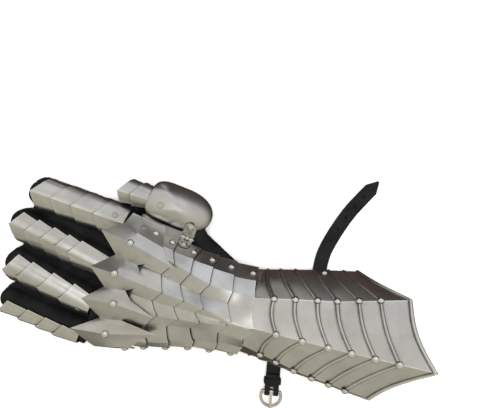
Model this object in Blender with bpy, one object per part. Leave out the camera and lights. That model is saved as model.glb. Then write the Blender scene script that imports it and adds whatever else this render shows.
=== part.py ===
# Armoured gauntlet for a left hand, lying palm down: steel plates over a leather glove.
# Lengths are in millimetres and become metres where a mesh is made.
# +X runs from the fingertips to the elbow edge, +Y to the thumb side, +Z up.
# The origin is the bottom centre of the whole piece's box.

import math

import bpy
from mathutils import Vector

MM = 0.001
SLIVER = 0.005

# Sheet steel, leather and the room between pieces
STEEL = 1.2
LEATHER = 1.8
STRAP_THICK = 2.5
GAP = 0.3

# Plates that overlap: the upper one stands this high at its free edge
PLATE_LIFT = 2.3
LAME_OVERLAP = 8.0
SCALE_OVERLAP = 5.0

# Dome rivets and flat rivets
DOME_RADIUS = 3.4
DOME_HEIGHT = 2.4
FLAT_RADIUS = 2.8
FLAT_HEIGHT = 0.8
RIVET_SINK = 0.6
RIVET_SIDES = 8

# Lines along the back of the hand, from the knuckles to the wrist: (x, y, z)
HAND_LINES = {
    "thumb_edge": [(-78, 3, 27.5), (-25, -2, 25), (7, -1.5, 24), (40, 1.5, 22)],
    "thumb_bend": [(-78, -9, 42), (-37, -11.5, 43), (20, -11.5, 42), (40, -9, 41)],
    "ridge_1": [(-78, -17, 46), (-37, -20, 50), (0, -25, 52), (22, -24, 51.5), (43, -22, 50)],
    "valley_12": [(-78, -34, 44), (-45, -34, 47.5), (-6, -37.5, 50), (21, -35.5, 53), (43, -31, 55.5)],
    "ridge_2": [(-78, -47, 51), (-37, -47, 57), (3, -46, 60), (30, -47, 61), (52, -45.5, 60)],
    "valley_23": [(-78, -61, 48), (-42, -58, 53), (-4, -52.5, 58), (31, -48.7, 60.8), (52, -46.9, 59.9)],
    "ridge_3": [(-78, -75, 51), (-34, -68, 56), (4, -58, 60), (31, -50.4, 61), (52, -48.3, 60)],
    "valley_34": [(-78, -92, 42), (-42, -85, 46), (-23, -75.5, 49), (-2, -67.5, 52), (25, -61, 54.5),
                  (48, -58, 55)],
    "ridge_4": [(-78, -107, 38), (-34, -98, 42), (6, -80, 43), (27, -73.5, 44.5), (50, -67, 45.5)],
    "pinky_bend": [(-78, -114, 33), (-39, -104.5, 37), (5, -88, 38), (29, -81, 39), (50, -76, 40)],
    "pinky_edge": [(-78, -121, 15), (-38, -112, 15), (2, -96.5, 14), (50, -84.5, 12)],
}
LINE_ORDER = list(HAND_LINES)

# Five lames, knuckles to wrist. Columns: x of the rear edge on six lines, then how deep its notches are
LAMES = [
    dict(thumb_edge=-43.5, ridge_1=-37, ridge_2=-37, ridge_3=-34, ridge_4=-34, pinky_edge=-33, notch=8.0),
    dict(thumb_edge=-20, ridge_1=-20, ridge_2=-16, ridge_3=-15, ridge_4=-15, pinky_edge=-13, notch=7.5),
    dict(thumb_edge=-1, ridge_1=0, ridge_2=3, ridge_3=4, ridge_4=6, pinky_edge=7, notch=7.0),
    dict(thumb_edge=17, ridge_1=22, ridge_2=30, ridge_3=28, ridge_4=27, pinky_edge=27, notch=4.5),
    dict(thumb_edge=38, ridge_1=43, ridge_2=52, ridge_3=51, ridge_4=50, pinky_edge=47, notch=4.0),
]
FIRST_LAME_FRONT = -72.0
LAME_ROWS = 4
RIVET_FROM_EDGE = 4.0
RIVET_ACROSS_THUMB = 0.5
RIVET_ACROSS_PINKY = 0.42

# Knuckle plate, one row for each line across it: front, rivet and rear points
KNUCKLE = [
    ("thumb_edge", (-94, 7, 28), (-77, 6.5, 28.5), (-60, 6, 28.5)),
    ("thumb_bend", (-96, -3.5, 37), (-80, -7, 45), (-52, -10.5, 48.5)),
    ("ray_1", (-112, -17, 45), (-81, -17, 52), (-33, -23, 57)),
    ("valley_12", (-92, -34, 41), (-80, -34, 47), (-68, -34, 49)),
    ("ray_2", (-108, -51, 49), (-83, -47, 57.5), (-38, -46, 63)),
    ("valley_23", (-90, -65, 44), (-80, -62, 50), (-69, -59, 53)),
    ("ray_3", (-105, -82, 48), (-74, -73, 57), (-36, -70, 62)),
    ("valley_34", (-84, -95, 39), (-73, -91, 45), (-63, -87, 48)),
    ("ray_4", (-106, -114, 41), (-72, -104, 49), (-28, -86, 54)),
    ("pinky_bend", (-81, -126, 29), (-68, -119, 36), (-46, -110, 41)),
    ("pinky_edge", (-77, -129, 16), (-62, -124.5, 16), (-45, -118, 16)),
]
SPIKE_WAIST = 0.25
KNUCKLE_SIDE_RIVETS = [("thumb", 0.06), ("thumb", 0.62), ("pinky", 0.62)]

# Cuff: five lines from the wrist to the elbow edge, at the shares of CUFF_SHARES
CUFF_SHARES = (0.0, 0.08, 0.52, 1.0)
CUFF_LINES = {
    "thumb_edge": [(34, -1, 14), (44, 2, 13), (91, 19.5, 7), (136, 35, 0.4)],
    "thumb_ridge": [(33, -23.2, 50), (45, -21, 50.2), (115, 4.5, 53), (176, 31.5, 57)],
    "centre_ridge": [(42, -46.6, 59.6), (54, -45.3, 60.2), (117.5, -34, 72), (206, -15.5, 92)],
    "pinky_ridge": [(40, -69.2, 43.6), (52, -67.6, 44.4), (110, -69.5, 51), (174.5, -66, 57)],
    "pinky_edge": [(38, -85.5, 10), (50, -84, 9), (90, -83, 4.6), (139, -81.5, 0.4)],
}
CUFF_FACET_STEPS = 4
CUFF_INSIDE = (100, -40, 20)

# Where each of the six flutes crosses the cuff's lines, as a share of the line
FLUTES = {
    "thumb_edge": (0.115, 0.23, 0.36, 0.525, 0.675, 0.835),
    "thumb_ridge": (0.175, 0.29, 0.41, 0.515, 0.655, 0.795),
    "centre_ridge": (0.205, 0.365, 0.52, 0.625, 0.73, 0.835),
    "pinky_ridge": (0.20, 0.32, 0.455, 0.585, 0.705, 0.82),
    "pinky_edge": (0.22, 0.34, 0.47, 0.60, 0.72, 0.83),
}
FLUTE_HALF_WIDTH = 2.0
FLUTE_HEIGHT = 1.1
FLUTE_SAG = 3.0
FLUTE_TOP = 0.7
ROLL_WIDTH = 4.5
ROLL_HEIGHT = 1.3
ROLL_CREST = (0.72, 0.28)
SCALLOP_DEPTH = 5.5

# How far each facet of the cuff swells outwards, near the wrist and at the elbow edge
FACET_SWELL = [(4.5, 1.0), (0.8, 0.8), (0.8, 0.8), (1.0, 0.8)]
SWELL_FROM = 0.25
STRAP_RIVET_SHARE = 0.60
STRAP_RIVET_ACROSS = 0.12
NORMAL_REACH = 0.05

# Glove fingers. Columns: root and tip centres in plan, root and tip half widths, where the plates' ridge leans
FINGERS = {
    "index": dict(root=(-97, -6), tip=(-202, -11), root_half=13.5, tip_half=13.0, lean=0),
    "middle": dict(root=(-97, -50.5), tip=(-208, -44), root_half=13.5, tip_half=14.0, lean=-8),
    "ring": dict(root=(-97, -90), tip=(-198, -82), root_half=13.5, tip_half=14.0, lean=-24),
    "pinky": dict(root=(-97, -119.5), tip=(-189, -118.5), root_half=11.0, tip_half=10.5, lean=-42),
}
FINGER_ROOT_Z = 15.5
FINGER_TIP_Z = 11.0
FINGER_ROOT_RISE = 12.0
FINGER_TIP_RISE = 10.8
FINGER_SIDES = 12
FINGER_ROOM = 0.8
SWELL_ANGLE = 30.0
TIP_ANGLES = (35, 60, 80)
MOUTH_RIM = 3.5

# Where the pointed front of each finger plate is, tip to knuckle, and where the last plate ends
SCALE_POINTS = {
    "index": [-195, -173, -152, -129],
    "middle": [-202, -185, -168, -152, -138],
    "ring": [-192, -176, -153, -130],
    "pinky": [-183, -161, -142, -124],
}
LAST_SCALE_REAR = -98.5
SCALE_REACH = 95.0
SCALE_SPANS = {"index": (-5, 152), "middle": (52, 172), "ring": (58, 172), "pinky": (88, 227)}
SCALE_SETBACK = 13.0
SETBACK_POWER = 0.7
SCALE_SLACK = 0.6
RIDGE_RISE = 2.0
FLAT_RIVET_ALONG = 0.65
FLAT_RIVET_FACETS = {"index": 2, "ring": 3}

# Glove hand: sections from the finger roots to the hem. Columns: x, thumb side, pinky side, height
GLOVE_SECTIONS = [(-97, 9.3, -132, 31), (-80, 4, -116.5, 33), (-45, -2, -107.5, 40), (0, -6, -89.5, 43),
                  (45, -11, -73, 40), (100, -5, -70, 44)]
GLOVE_POWER = 2.5
GLOVE_SIDES = 22
GLOVE_BASE = 0.0
GLOVE_SUNK = 1.6

# Base of the thumb: path of centres, then half width and half height at each
THUMB_BASE = [(-50, 26.5, 13), (-40, 18.5, 12.2), (-27, 4.5, 12), (0, -7, 13), (28, -15, 13.5)]
THUMB_BASE_HALF = [(12.3, 12.0), (11.4, 9.3), (11.0, 8.8), (12.0, 10.2), (10.0, 10.0)]
THUMB_TIP = (-115, 21.5, 12)
THUMB_TIP_HALF = (10.5, 10.5)
THUMB_SCALE_POINTS = [-117, -104]
THUMB_SCALE_REAR = -82.0
THUMB_SCALE_ANGLES = (-84, -56, -28, 0, 22, 42)
THUMB_SCALE_SETBACK = 9.0

# Thumb plate: an egg-shaped dome, and its hinge on the second lame
PLATE_CENTRE = (-54, 27.5)
PLATE_FRONT = 32.0
PLATE_BACK = 32.0
PLATE_HALF_WIDTH = 20.5
PLATE_RIM_Z = 18.8
PLATE_RISE = 15.5
PLATE_TILT = 0.2
PLATE_BROW = 11.0
PLATE_POWER = 2.2
PLATE_FRONT_POWER = 4.0
PLATE_FULLNESS = 0.8
PLATE_RIVET = (-71.5, 24.0)
PLATE_RINGS = 4
PLATE_SIDES = 20
HINGE_X = (-43.0, -31.0)
HINGE_Y = 3.2
HINGE_Z = 25.0
HINGE_PIN_RADIUS = 0.9
HINGE_BARREL_RADIUS = 2.3
HINGE_PLAY = 0.35
LEAF_THICK = 1.0
HAND_LEAF_REACH = 13.0
THUMB_LEAF_REACH = 17.0
LEAF_ROUND = 0.8
LEAF_INSET = 0.3
LEAF_SLOPE = 30.0
LEAF_STEPS = 8
PIN_SIDES = 12

# Long strap, thumb side: route of its middle from inside the cuff to where its point begins to narrow
STRAP_WIDTH = 14.0
STRAP_REST = 0.25
LONG_STRAP_PATH = [(101.5, 10.5, 19), (100, 13.8, 9), (99, 17, 4), (97.5, 23, 1.6), (96.2, 30, 1.5),
                   (95.5, 40, 1.5), (96.7, 53, 1.5), (100, 71, 1.5), (104.7, 89, 1.5), (111.2, 106, 1.5)]
LONG_STRAP_TIP = (119.8, 127.0, 1.5)
LONG_STRAP_POINT = 11.0
STRAP_TIP_SHARE = 0.12
STRAP_HOLES = 5
STRAP_HOLE_RADIUS = 1.6
STRAP_HOLE_FIRST = 22.0
STRAP_HOLE_PITCH = 14.0
STRAP_HOLE_SIDES = 10

# Short strap, little finger side, folded round the buckle's bar. Its root is (way out, height)
SHORT_STRAP_START = (88.5, -78.0)
SHORT_STRAP_DIRECTION = (0.28, -0.96)
SHORT_STRAP_LENGTH = 34.0
SHORT_STRAP_ROOT = [(-4.8, 19.0), (-1.9, 9.0), (0.3, 4.2), (3.4, 1.7), (9.0, 2.2)]
FLAP_BEYOND = 7.0
FOLD_STEPS = 8
KEEPER_WIDTH = 5.0
KEEPER_WALL = 1.2
KEEPER_AT = 11.0

# Buckle: a straight bar closed by a round bow, and its tongue
BUCKLE_BAR_RADIUS = 1.3
BUCKLE_RADIUS = 10.2
BUCKLE_ROOM = 0.6
BUCKLE_STEPS = 18
BUCKLE_SIDES = 8
TONGUE_WIDTH = 3.0
TONGUE_THICK = 1.4
TONGUE_ROD = 2.4
TONGUE_WALL = 1.1
TONGUE_SLOT = 4.2
TONGUE_PLAY = 0.45
TONGUE_SIDES = 14


# Materials
def make_material(name, colour, roughness, metallic):
    material = bpy.data.materials.new(name)
    material.use_nodes = True
    shader = material.node_tree.nodes["Principled BSDF"]
    shader.inputs["Base Color"].default_value = (*colour, 1.0)
    shader.inputs["Roughness"].default_value = roughness
    shader.inputs["Metallic"].default_value = metallic
    material.diffuse_color = (*colour, 1.0)
    return material


# Small helpers for lines and frames
def along(points, x):
    """Point of a smooth line at x. The line runs through its points, straight beyond them."""
    last = len(points) - 1
    index = 0
    while index < last - 1 and x > points[index + 1][0]:
        index += 1
    a = Vector(points[index])
    b = Vector(points[index + 1])
    span = b.x - a.x
    share = (x - a.x) / span
    if share < 0.0 or share > 1.0:
        return a.lerp(b, share)
    before = Vector(points[index - 1]) if index > 0 else a - (b - a)
    after = Vector(points[index + 2]) if index < last - 1 else b + (b - a)
    slope_a = (b - before) / (b.x - before.x)
    slope_b = (after - a) / (after.x - a.x)
    h1 = 2 * share**3 - 3 * share**2 + 1
    h2 = share**3 - 2 * share**2 + share
    h3 = 1 - h1
    h4 = share**3 - share**2
    return a * h1 + slope_a * (h2 * span) + b * h3 + slope_b * (h4 * span)


def point_between(points, shares, share):
    """Point of a line of straight runs whose points lie at the given shares of its length."""
    index = 0
    while index < len(shares) - 2 and share > shares[index + 1]:
        index += 1
    part = (share - shares[index]) / (shares[index + 1] - shares[index])
    return Vector(points[index]).lerp(Vector(points[index + 1]), part)


def column_normals(row):
    """Outward directions across a row of points that runs from the thumb side to the little finger."""
    normals = []
    for index in range(len(row)):
        before = row[max(index - 1, 0)]
        after = row[min(index + 1, len(row) - 1)]
        across = after - before
        normals.append(Vector((0.0, across.z, -across.y)).normalized())
    return normals


def new_object(name, mesh, material):
    obj = bpy.data.objects.new(name, mesh)
    obj.data.materials.append(material)
    bpy.context.scene.collection.objects.link(obj)
    return obj


def mesh_from(name, points, faces):
    mesh = bpy.data.meshes.new(name)
    mesh.from_pydata([Vector(p) * MM for p in points], [], faces)
    mesh.update()
    return mesh


def apply_modifiers(obj):
    graph = bpy.context.evaluated_depsgraph_get()
    mesh = bpy.data.meshes.new_from_object(obj.evaluated_get(graph))
    obj.modifiers.clear()
    old = obj.data
    obj.data = mesh
    bpy.data.meshes.remove(old)


def boolean(obj, other, operation):
    """Joins or cuts with another object, which is then removed."""
    modifier = obj.modifiers.new("boolean", "BOOLEAN")
    modifier.object = other
    modifier.operation = operation
    modifier.solver = "EXACT"
    obj.modifiers.new("weld", "WELD").merge_threshold = SLIVER * MM
    apply_modifiers(obj)
    bpy.data.objects.remove(other)


def sheet(name, grid, wall, material):
    """Closed plate from a grid of points on its outer face, thickened inwards. Rows run along X."""
    rows = len(grid)
    columns = len(grid[0])
    points = [point for row in grid for point in row]
    faces = []
    for i in range(rows - 1):
        for j in range(columns - 1):
            corner = i * columns + j
            faces.append((corner, corner + 1, corner + 1 + columns, corner + columns))
    obj = new_object(name, mesh_from(name, points, faces), material)
    thicken(obj, wall)
    return obj


def thicken(obj, wall):
    modifier = obj.modifiers.new("wall", "SOLIDIFY")
    modifier.thickness = wall * MM
    modifier.offset = -1.0
    modifier.use_even_offset = True
    obj.modifiers.new("flat faces", "TRIANGULATE")
    apply_modifiers(obj)


def turn_towards(direction):
    return direction.to_track_quat("Z", "Y")


def head_points(centre, normal, radius, height, rings):
    """Points and faces of one rivet head, from below the sheet to its top."""
    turn = turn_towards(normal)
    profile = [(radius, -RIVET_SINK)]
    for step in range(rings):
        angle = math.radians(90.0 * step / rings)
        profile.append((radius * math.cos(angle), height * math.sin(angle)))
    points = []
    for distance, rise in profile:
        for side in range(RIVET_SIDES):
            angle = 2 * math.pi * side / RIVET_SIDES
            local = Vector((distance * math.cos(angle), distance * math.sin(angle), rise))
            points.append(centre + turn @ local)
    points.append(centre + turn @ Vector((0, 0, height)))
    count = len(profile)
    faces = [tuple(reversed(range(RIVET_SIDES)))]
    for ring in range(count - 1):
        for side in range(RIVET_SIDES):
            a = ring * RIVET_SIDES + side
            b = ring * RIVET_SIDES + (side + 1) % RIVET_SIDES
            faces.append((a, b, b + RIVET_SIDES, a + RIVET_SIDES))
    top = count * RIVET_SIDES
    for side in range(RIVET_SIDES):
        a = (count - 1) * RIVET_SIDES + side
        b = (count - 1) * RIVET_SIDES + (side + 1) % RIVET_SIDES
        faces.append((a, b, top))
    return points, faces


def add_rivets(obj, places, radius=DOME_RADIUS, height=DOME_HEIGHT, rings=2):
    """Joins rivet heads to a plate. Each place is a point on the plate's face and its outward direction."""
    points = []
    faces = []
    for centre, normal in places:
        more_points, more_faces = head_points(centre, normal, radius, height, rings)
        faces += [tuple(index + len(points) for index in face) for face in more_faces]
        points += more_points
    heads = new_object("heads", mesh_from("heads", points, faces), obj.data.materials[0])
    boolean(obj, heads, "UNION")


def loft(name, outer, material, inner=None, fan=False):
    """Solid through closed rings of points, both ends flat. With inner rings it is a cup, open at ring 0.

    The rings run from the open end to the closed one, counter-clockwise seen from the closed end.
    With fan, each end is a fan of triangles round its middle, for rings with points in a straight row.
    """
    sides = len(outer[0])
    points = [point for ring in outer for point in ring]
    faces = []

    def wall(start, rings, inward):
        for ring in range(rings - 1):
            for side in range(sides):
                a = start + ring * sides + side
                b = start + ring * sides + (side + 1) % sides
                for face in ((a, b, b + sides), (a, b + sides, a + sides)):
                    faces.append(tuple(reversed(face)) if inward else face)

    wall(0, len(outer), False)
    if fan:
        last = (len(outer) - 1) * sides
        middle = len(points)
        points += [sum(ring, Vector()) / sides for ring in (outer[0], outer[-1])]
        for side in range(sides):
            nxt = (side + 1) % sides
            faces.append((middle, nxt, side))
            faces.append((middle + 1, last + side, last + nxt))
        return new_object(name, mesh_from(name, points, faces), material)
    faces.append(tuple((len(outer) - 1) * sides + side for side in range(sides)))
    if inner is None:
        faces.append(tuple(reversed(range(sides))))
    else:
        start = len(points)
        points += [point for ring in inner for point in ring]
        wall(start, len(inner), True)
        end = start + (len(inner) - 1) * sides
        faces.append(tuple(reversed([end + side for side in range(sides)])))
        for side in range(sides):
            nxt = (side + 1) % sides
            faces.append((side, start + side, start + nxt, nxt))
    return new_object(name, mesh_from(name, points, faces), material)


def ring_about(centre, direction, half_width, half_height, sides, power=2.0, swell=(0.0, 0.0)):
    """Closed ring across a direction that lies nearly level, counter-clockwise seen from its far end.

    Its lower half is wider by the swell of each side, the side of the ring's start first.
    """
    forward = Vector(direction).normalized()
    side_way = Vector((0, 0, 1)).cross(forward).normalized()
    up = forward.cross(side_way)
    ring = []
    for step in range(sides):
        angle = 2 * math.pi * step / sides
        c = math.copysign(abs(math.cos(angle)) ** (2 / power), math.cos(angle))
        s = math.copysign(abs(math.sin(angle)) ** (2 / power), math.sin(angle))
        low = min(max(-math.sin(angle) / math.sin(math.radians(SWELL_ANGLE)), 0.0), 1.0)
        wide = half_width + low * (swell[0] if c > 0 else swell[1])
        ring.append(Vector(centre) + side_way * (c * wide) + up * (s * half_height))
    return ring


# Steel plates on the back of the hand
def lame_rear(index, line):
    """x of a lame's rear edge on one line of the hand."""
    lame = LAMES[index]
    if line in lame:
        return lame[line]
    if line == "thumb_bend":
        return (lame["thumb_edge"] + lame["ridge_1"]) / 2 - lame["notch"] / 3
    if line == "pinky_bend":
        return (lame["pinky_edge"] + lame["ridge_4"]) / 2
    low, high = line[-2], line[-1]
    return (lame["ridge_" + low] + lame["ridge_" + high]) / 2 - lame["notch"]


def lame_front(index, line):
    if index == 0:
        return FIRST_LAME_FRONT
    return lame_rear(index - 1, line) - LAME_OVERLAP


def lame_row(index, share):
    """One row of a lame's outer face, at a share of its length, lifted towards its rear edge."""
    places = []
    for line in LINE_ORDER:
        front = lame_front(index, line)
        rear = lame_rear(index, line)
        places.append(along(HAND_LINES[line], front + (rear - front) * share))
    normals = column_normals(places)
    return [place + normal * (PLATE_LIFT * share) for place, normal in zip(places, normals)]


def side_rivet(row_before, row_after, low, high, from_edge, share):
    """Place and direction of a rivet on the facet between two lines, near the rear edge."""
    length = (row_after[low] - row_before[low]).length
    part = 1.0 - from_edge / length
    a = row_before[low].lerp(row_after[low], part)
    b = row_before[high].lerp(row_after[high], part)
    normal = (row_after[low] - row_before[low]).cross(b - a).normalized()
    if normal.z < 0:
        normal = -normal
    return a.lerp(b, share), normal


def make_lames(steel):
    last = len(LINE_ORDER) - 1
    for index in range(len(LAMES)):
        grid = [lame_row(index, row / (LAME_ROWS - 1)) for row in range(LAME_ROWS)]
        obj = sheet("lame_%d" % (index + 1), grid, STEEL, steel)
        places = [
            side_rivet(grid[-2], grid[-1], 0, 1, RIVET_FROM_EDGE, RIVET_ACROSS_THUMB),
            side_rivet(grid[-2], grid[-1], last, last - 1, RIVET_FROM_EDGE, RIVET_ACROSS_PINKY),
        ]
        add_rivets(obj, places)


def knuckle_grid():
    """Rows of the knuckle plate, with a line halfway between each ray and its valleys for the spikes' outline."""
    columns = []
    for index, (name, front, middle, rear) in enumerate(KNUCKLE):
        column = [Vector(front), Vector(middle), Vector(middle).lerp(Vector(rear), 0.5), Vector(rear)]
        if index > 0:
            before = columns[-1]
            halfway = [p.lerp(q, 0.5) for p, q in zip(before, column)]
            ray_rear, other_rear = (rear, before[3]) if name.startswith("ray") else (before[3], rear)
            halfway[3].x = other_rear[0] + (ray_rear[0] - other_rear[0]) * SPIKE_WAIST
            halfway[2].x = (halfway[1].x + halfway[3].x) / 2
            beside_ray = name.startswith("ray") or KNUCKLE[index - 1][0].startswith("ray")
            if beside_ray:
                columns.append(halfway)
        columns.append(column)
    return [[column[row] for column in columns] for row in range(4)]


def make_knuckle_plate(steel):
    grid = knuckle_grid()
    obj = sheet("knuckle_plate", grid, STEEL, steel)
    places = []
    for name, front, middle, rear in KNUCKLE:
        if name.startswith("ray"):
            places.append((Vector(middle), Vector((0.0, 0.0, 1.0))))
    sides = {"thumb": (KNUCKLE[0], KNUCKLE[1]), "pinky": (KNUCKLE[-1], KNUCKLE[-2])}
    for side, share in KNUCKLE_SIDE_RIVETS:
        low, high = sides[side]
        a = Vector(low[1]).lerp(Vector(low[3]), share)
        b = Vector(high[1]).lerp(Vector(high[3]), share)
        run = Vector(low[3]) - Vector(low[1])
        normal = run.cross(b - a).normalized()
        normal = -normal if normal.z < 0 else normal
        places.append((a.lerp(b, 0.5), normal))
    add_rivets(obj, places)


# Cuff
def cuff_length(line):
    return (Vector(CUFF_LINES[line][-1]) - Vector(CUFF_LINES[line][0])).length


def cuff_point(facet, across, shares, sag=0.0):
    """Point of the cuff's face on a facet. Shares hold how far along each line the row is."""
    ends = []
    for line in list(CUFF_LINES)[facet:facet + 2]:
        bent = shares[line] - sag / cuff_length(line) * math.sin(math.pi * across)
        ends.append(point_between(CUFF_LINES[line], CUFF_SHARES, bent))
    wrist, elbow = FACET_SWELL[facet]
    share = (shares[list(CUFF_LINES)[facet]] + shares[list(CUFF_LINES)[facet + 1]]) / 2
    swell = (wrist + (elbow - wrist) * share) * min(share / SWELL_FROM, 1.0)
    return ends[0].lerp(ends[1], across) + facet_normal(facet, share) * (swell * math.sin(math.pi * across))


def facet_normal(facet, share):
    low, high = list(CUFF_LINES.values())[facet:facet + 2]
    a = point_between(low, CUFF_SHARES, share)
    b = point_between(high, CUFF_SHARES, share)
    behind = max(share - NORMAL_REACH, 0.0)
    ahead = min(share + NORMAL_REACH, 1.0)
    run = point_between(low, CUFF_SHARES, ahead) - point_between(low, CUFF_SHARES, behind)
    run += point_between(high, CUFF_SHARES, ahead) - point_between(high, CUFF_SHARES, behind)
    normal = (b - a).cross(run).normalized()
    outward = a.lerp(b, 0.5) - Vector(CUFF_INSIDE)
    return normal if normal.dot(outward) > 0 else -normal


def cuff_rows():
    """For each row of the cuff's grid: shares along the lines, how far its face is raised, and its sag."""
    rows = [({line: share for line in CUFF_LINES}, 0.0, 0.0) for share in CUFF_SHARES[:2]]
    for index in range(len(FLUTES["centre_ridge"])):
        for offset, height in ((-FLUTE_HALF_WIDTH, 0.0), (0.0, FLUTE_HEIGHT), (FLUTE_HALF_WIDTH, 0.0)):
            shares = {line: at[index] + offset / cuff_length(line) for line, at in FLUTES.items()}
            rows.append((shares, height, FLUTE_SAG))
    for part, height in ((1.0, 0.0), (ROLL_CREST[0], ROLL_HEIGHT), (ROLL_CREST[1], ROLL_HEIGHT), (0.0, 0.0)):
        shares = {line: 1.0 - ROLL_WIDTH * part / cuff_length(line) for line in CUFF_LINES}
        rows.append((shares, height, SCALLOP_DEPTH))
    return rows


def make_cuff(steel):
    names = list(CUFF_LINES)
    facets = len(names) - 1
    grid = []
    for shares, height, sag in cuff_rows():
        row = []
        for facet in range(facets):
            for step in range(CUFF_FACET_STEPS):
                normal = facet_normal(facet, shares[names[facet]])
                if step == 0 and facet > 0:
                    normal = (normal + facet_normal(facet - 1, shares[names[facet]])).normalized()
                row.append(cuff_point(facet, step / CUFF_FACET_STEPS, shares, sag) + normal * height)
        normal = facet_normal(facets - 1, shares[names[-1]])
        row.append(cuff_point(facets - 1, 1.0, shares, sag) + normal * height)
        grid.append(row)
    obj = sheet("cuff", grid, STEEL, steel)
    places = []
    for ridge in (1, 2, 3):
        for share in FLUTES[names[ridge]]:
            normal = (facet_normal(ridge - 1, share) + facet_normal(ridge, share)).normalized()
            place = point_between(CUFF_LINES[names[ridge]], CUFF_SHARES, share)
            places.append((place + normal * FLUTE_HEIGHT * FLUTE_TOP, normal))
    shares = {line: STRAP_RIVET_SHARE for line in CUFF_LINES}
    places.append((cuff_point(0, STRAP_RIVET_ACROSS, shares), facet_normal(0, STRAP_RIVET_SHARE)))
    add_rivets(obj, places)


# Glove fingers and their plates
def finger_frame(name):
    finger = FINGERS[name]
    root = Vector((*finger["root"], FINGER_ROOT_Z))
    tip = Vector((*finger["tip"], FINGER_TIP_Z))
    return root, tip


def finger_section(name, x):
    """Centre, half width and half height of the glove finger at x."""
    finger = FINGERS[name]
    root, tip = finger_frame(name)
    share = (x - root.x) / (tip.x - root.x)
    half = finger["root_half"] + (finger["tip_half"] - finger["root_half"]) * share
    rise = FINGER_ROOT_RISE + (FINGER_TIP_RISE - FINGER_ROOT_RISE) * share
    return root.lerp(tip, share), half, rise


def tube_rings(root, tip, root_half, tip_half, inset, sides, swells, square_mouth):
    """Rings of a glove finger from its mouth to its rounded tip, drawn in by inset."""
    direction = (tip - root).normalized()
    length = (tip - root).length
    rounding = tip_half[0]
    steps = [0.0, length - rounding]
    shrink = [1.0, 1.0]
    for angle in TIP_ANGLES:
        steps.append(length - rounding + rounding * math.sin(math.radians(angle)))
        shrink.append(math.cos(math.radians(angle)))
    rings = []
    for step, factor in zip(steps, shrink):
        share = step / length
        half = (root_half[0] + (tip_half[0] - root_half[0]) * share - inset) * factor
        rise = (root_half[1] + (tip_half[1] - root_half[1]) * share - inset) * factor
        place = root + direction * (step - (inset if step > 0 else 0.0))
        swell = [(a + (b - a) * share) * factor for a, b in swells]
        rings.append(ring_about(place, direction, half, rise, sides, 2.0, swell))
    if square_mouth:
        rings[0] = [point + direction * ((root.x - point.x) / direction.x) for point in rings[0]]
    return rings


def make_glove_tube(name, root, tip, root_half, tip_half, leather, swells, square_mouth):
    outer = tube_rings(root, tip, root_half, tip_half, 0.0, FINGER_SIDES, swells, square_mouth)
    inner = tube_rings(root, tip, root_half, tip_half, LEATHER, FINGER_SIDES, swells, square_mouth)
    return loft(name, outer, leather, inner)


def finger_swell(name, other, end):
    """How far a glove finger swells below its plates to lie against the next one, at its root or tip."""
    if other is None:
        return 0.0
    apart = abs(FINGERS[name][end][1] - FINGERS[other][end][1])
    reach = (apart - FINGER_ROOM) / 2 / math.cos(math.radians(SWELL_ANGLE))
    return reach - FINGERS[name][end + "_half"]


def make_glove_fingers(leather):
    order = list(FINGERS)
    for index, (name, finger) in enumerate(FINGERS.items()):
        root, tip = finger_frame(name)
        root_half = (finger["root_half"], FINGER_ROOT_RISE)
        tip_half = (finger["tip_half"], FINGER_TIP_RISE)
        start = root + (tip - root).normalized() * GAP
        after = order[index + 1] if index + 1 < len(order) else None
        before = order[index - 1] if index > 0 else None
        swells = [[finger_swell(name, other, end) for end in ("root", "tip")] for other in (after, before)]
        make_glove_tube("glove_" + name, start, tip, root_half, tip_half, leather, swells, True)


def scale_row(section, xs, angles, lean, lift):
    """One row of a finger plate's outer face: a point for each angle round the finger, each at its own x."""
    row = []
    for x, angle, raised in zip(xs, angles, lift):
        centre, half, rise = section(x)
        offset = GAP + STEEL + SCALE_SLACK + raised
        if angle == 0:
            offset += RIDGE_RISE
        turn = math.radians(90 - lean + angle)
        row.append(centre + Vector((0, math.cos(turn) * (half + offset), math.sin(turn) * (rise + offset))))
    return row


def setbacks(depth, angles):
    """How far a plate's front edge lies behind its point at each angle from the ridge."""
    return [depth * (abs(angle) / SCALE_REACH) ** SETBACK_POWER for angle in angles]


def scale_angles(name):
    """Seven angles from a finger plate's thumb edge to its other edge, measured from its ridge."""
    ridge = 90 - FINGERS[name]["lean"]
    low, high = (side - ridge for side in SCALE_SPANS[name])
    return [low, low * 2 / 3, low / 3, 0, high / 3, high * 2 / 3, high]


def make_scale(name, section, fronts, rears, angles, lean, steel):
    grid = []
    for share in (0.0, 0.5, 1.0):
        xs = [front + (rear - front) * share for front, rear in zip(fronts, rears)]
        lift = [PLATE_LIFT * (1 - share)] * len(angles)
        grid.append(scale_row(section, xs, angles, lean, lift))
    return sheet(name, grid, STEEL, steel), grid


def make_finger_scales(steel):
    for name, points in SCALE_POINTS.items():
        lean = FINGERS[name]["lean"]
        angles = scale_angles(name)
        backs = setbacks(SCALE_SETBACK, angles)
        for index, point in enumerate(points):
            fronts = [point + back for back in backs]
            if index + 1 < len(points):
                rears = [points[index + 1] + back + SCALE_OVERLAP for back in backs]
            else:
                rears = [LAST_SCALE_REAR] * len(fronts)
            title = "%s_scale_%d" % (name, index + 1)
            section = lambda x, n=name: finger_section(n, x)
            obj, grid = make_scale(title, section, fronts, rears, angles, lean, steel)
            if index + 1 == len(points) and name in FLAT_RIVET_FACETS:
                facet = FLAT_RIVET_FACETS[name]
                low, high = grid[1][facet], grid[1][facet + 1]
                rear = grid[2][facet].lerp(grid[2][facet + 1], 0.5)
                place = low.lerp(high, 0.5).lerp(rear, FLAT_RIVET_ALONG)
                normal = (grid[2][facet + 1] - grid[1][facet + 1]).cross(high - low).normalized()
                normal = -normal if normal.z < 0 else normal
                add_rivets(obj, [(place, normal)], FLAT_RADIUS, FLAT_HEIGHT, 1)


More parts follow.
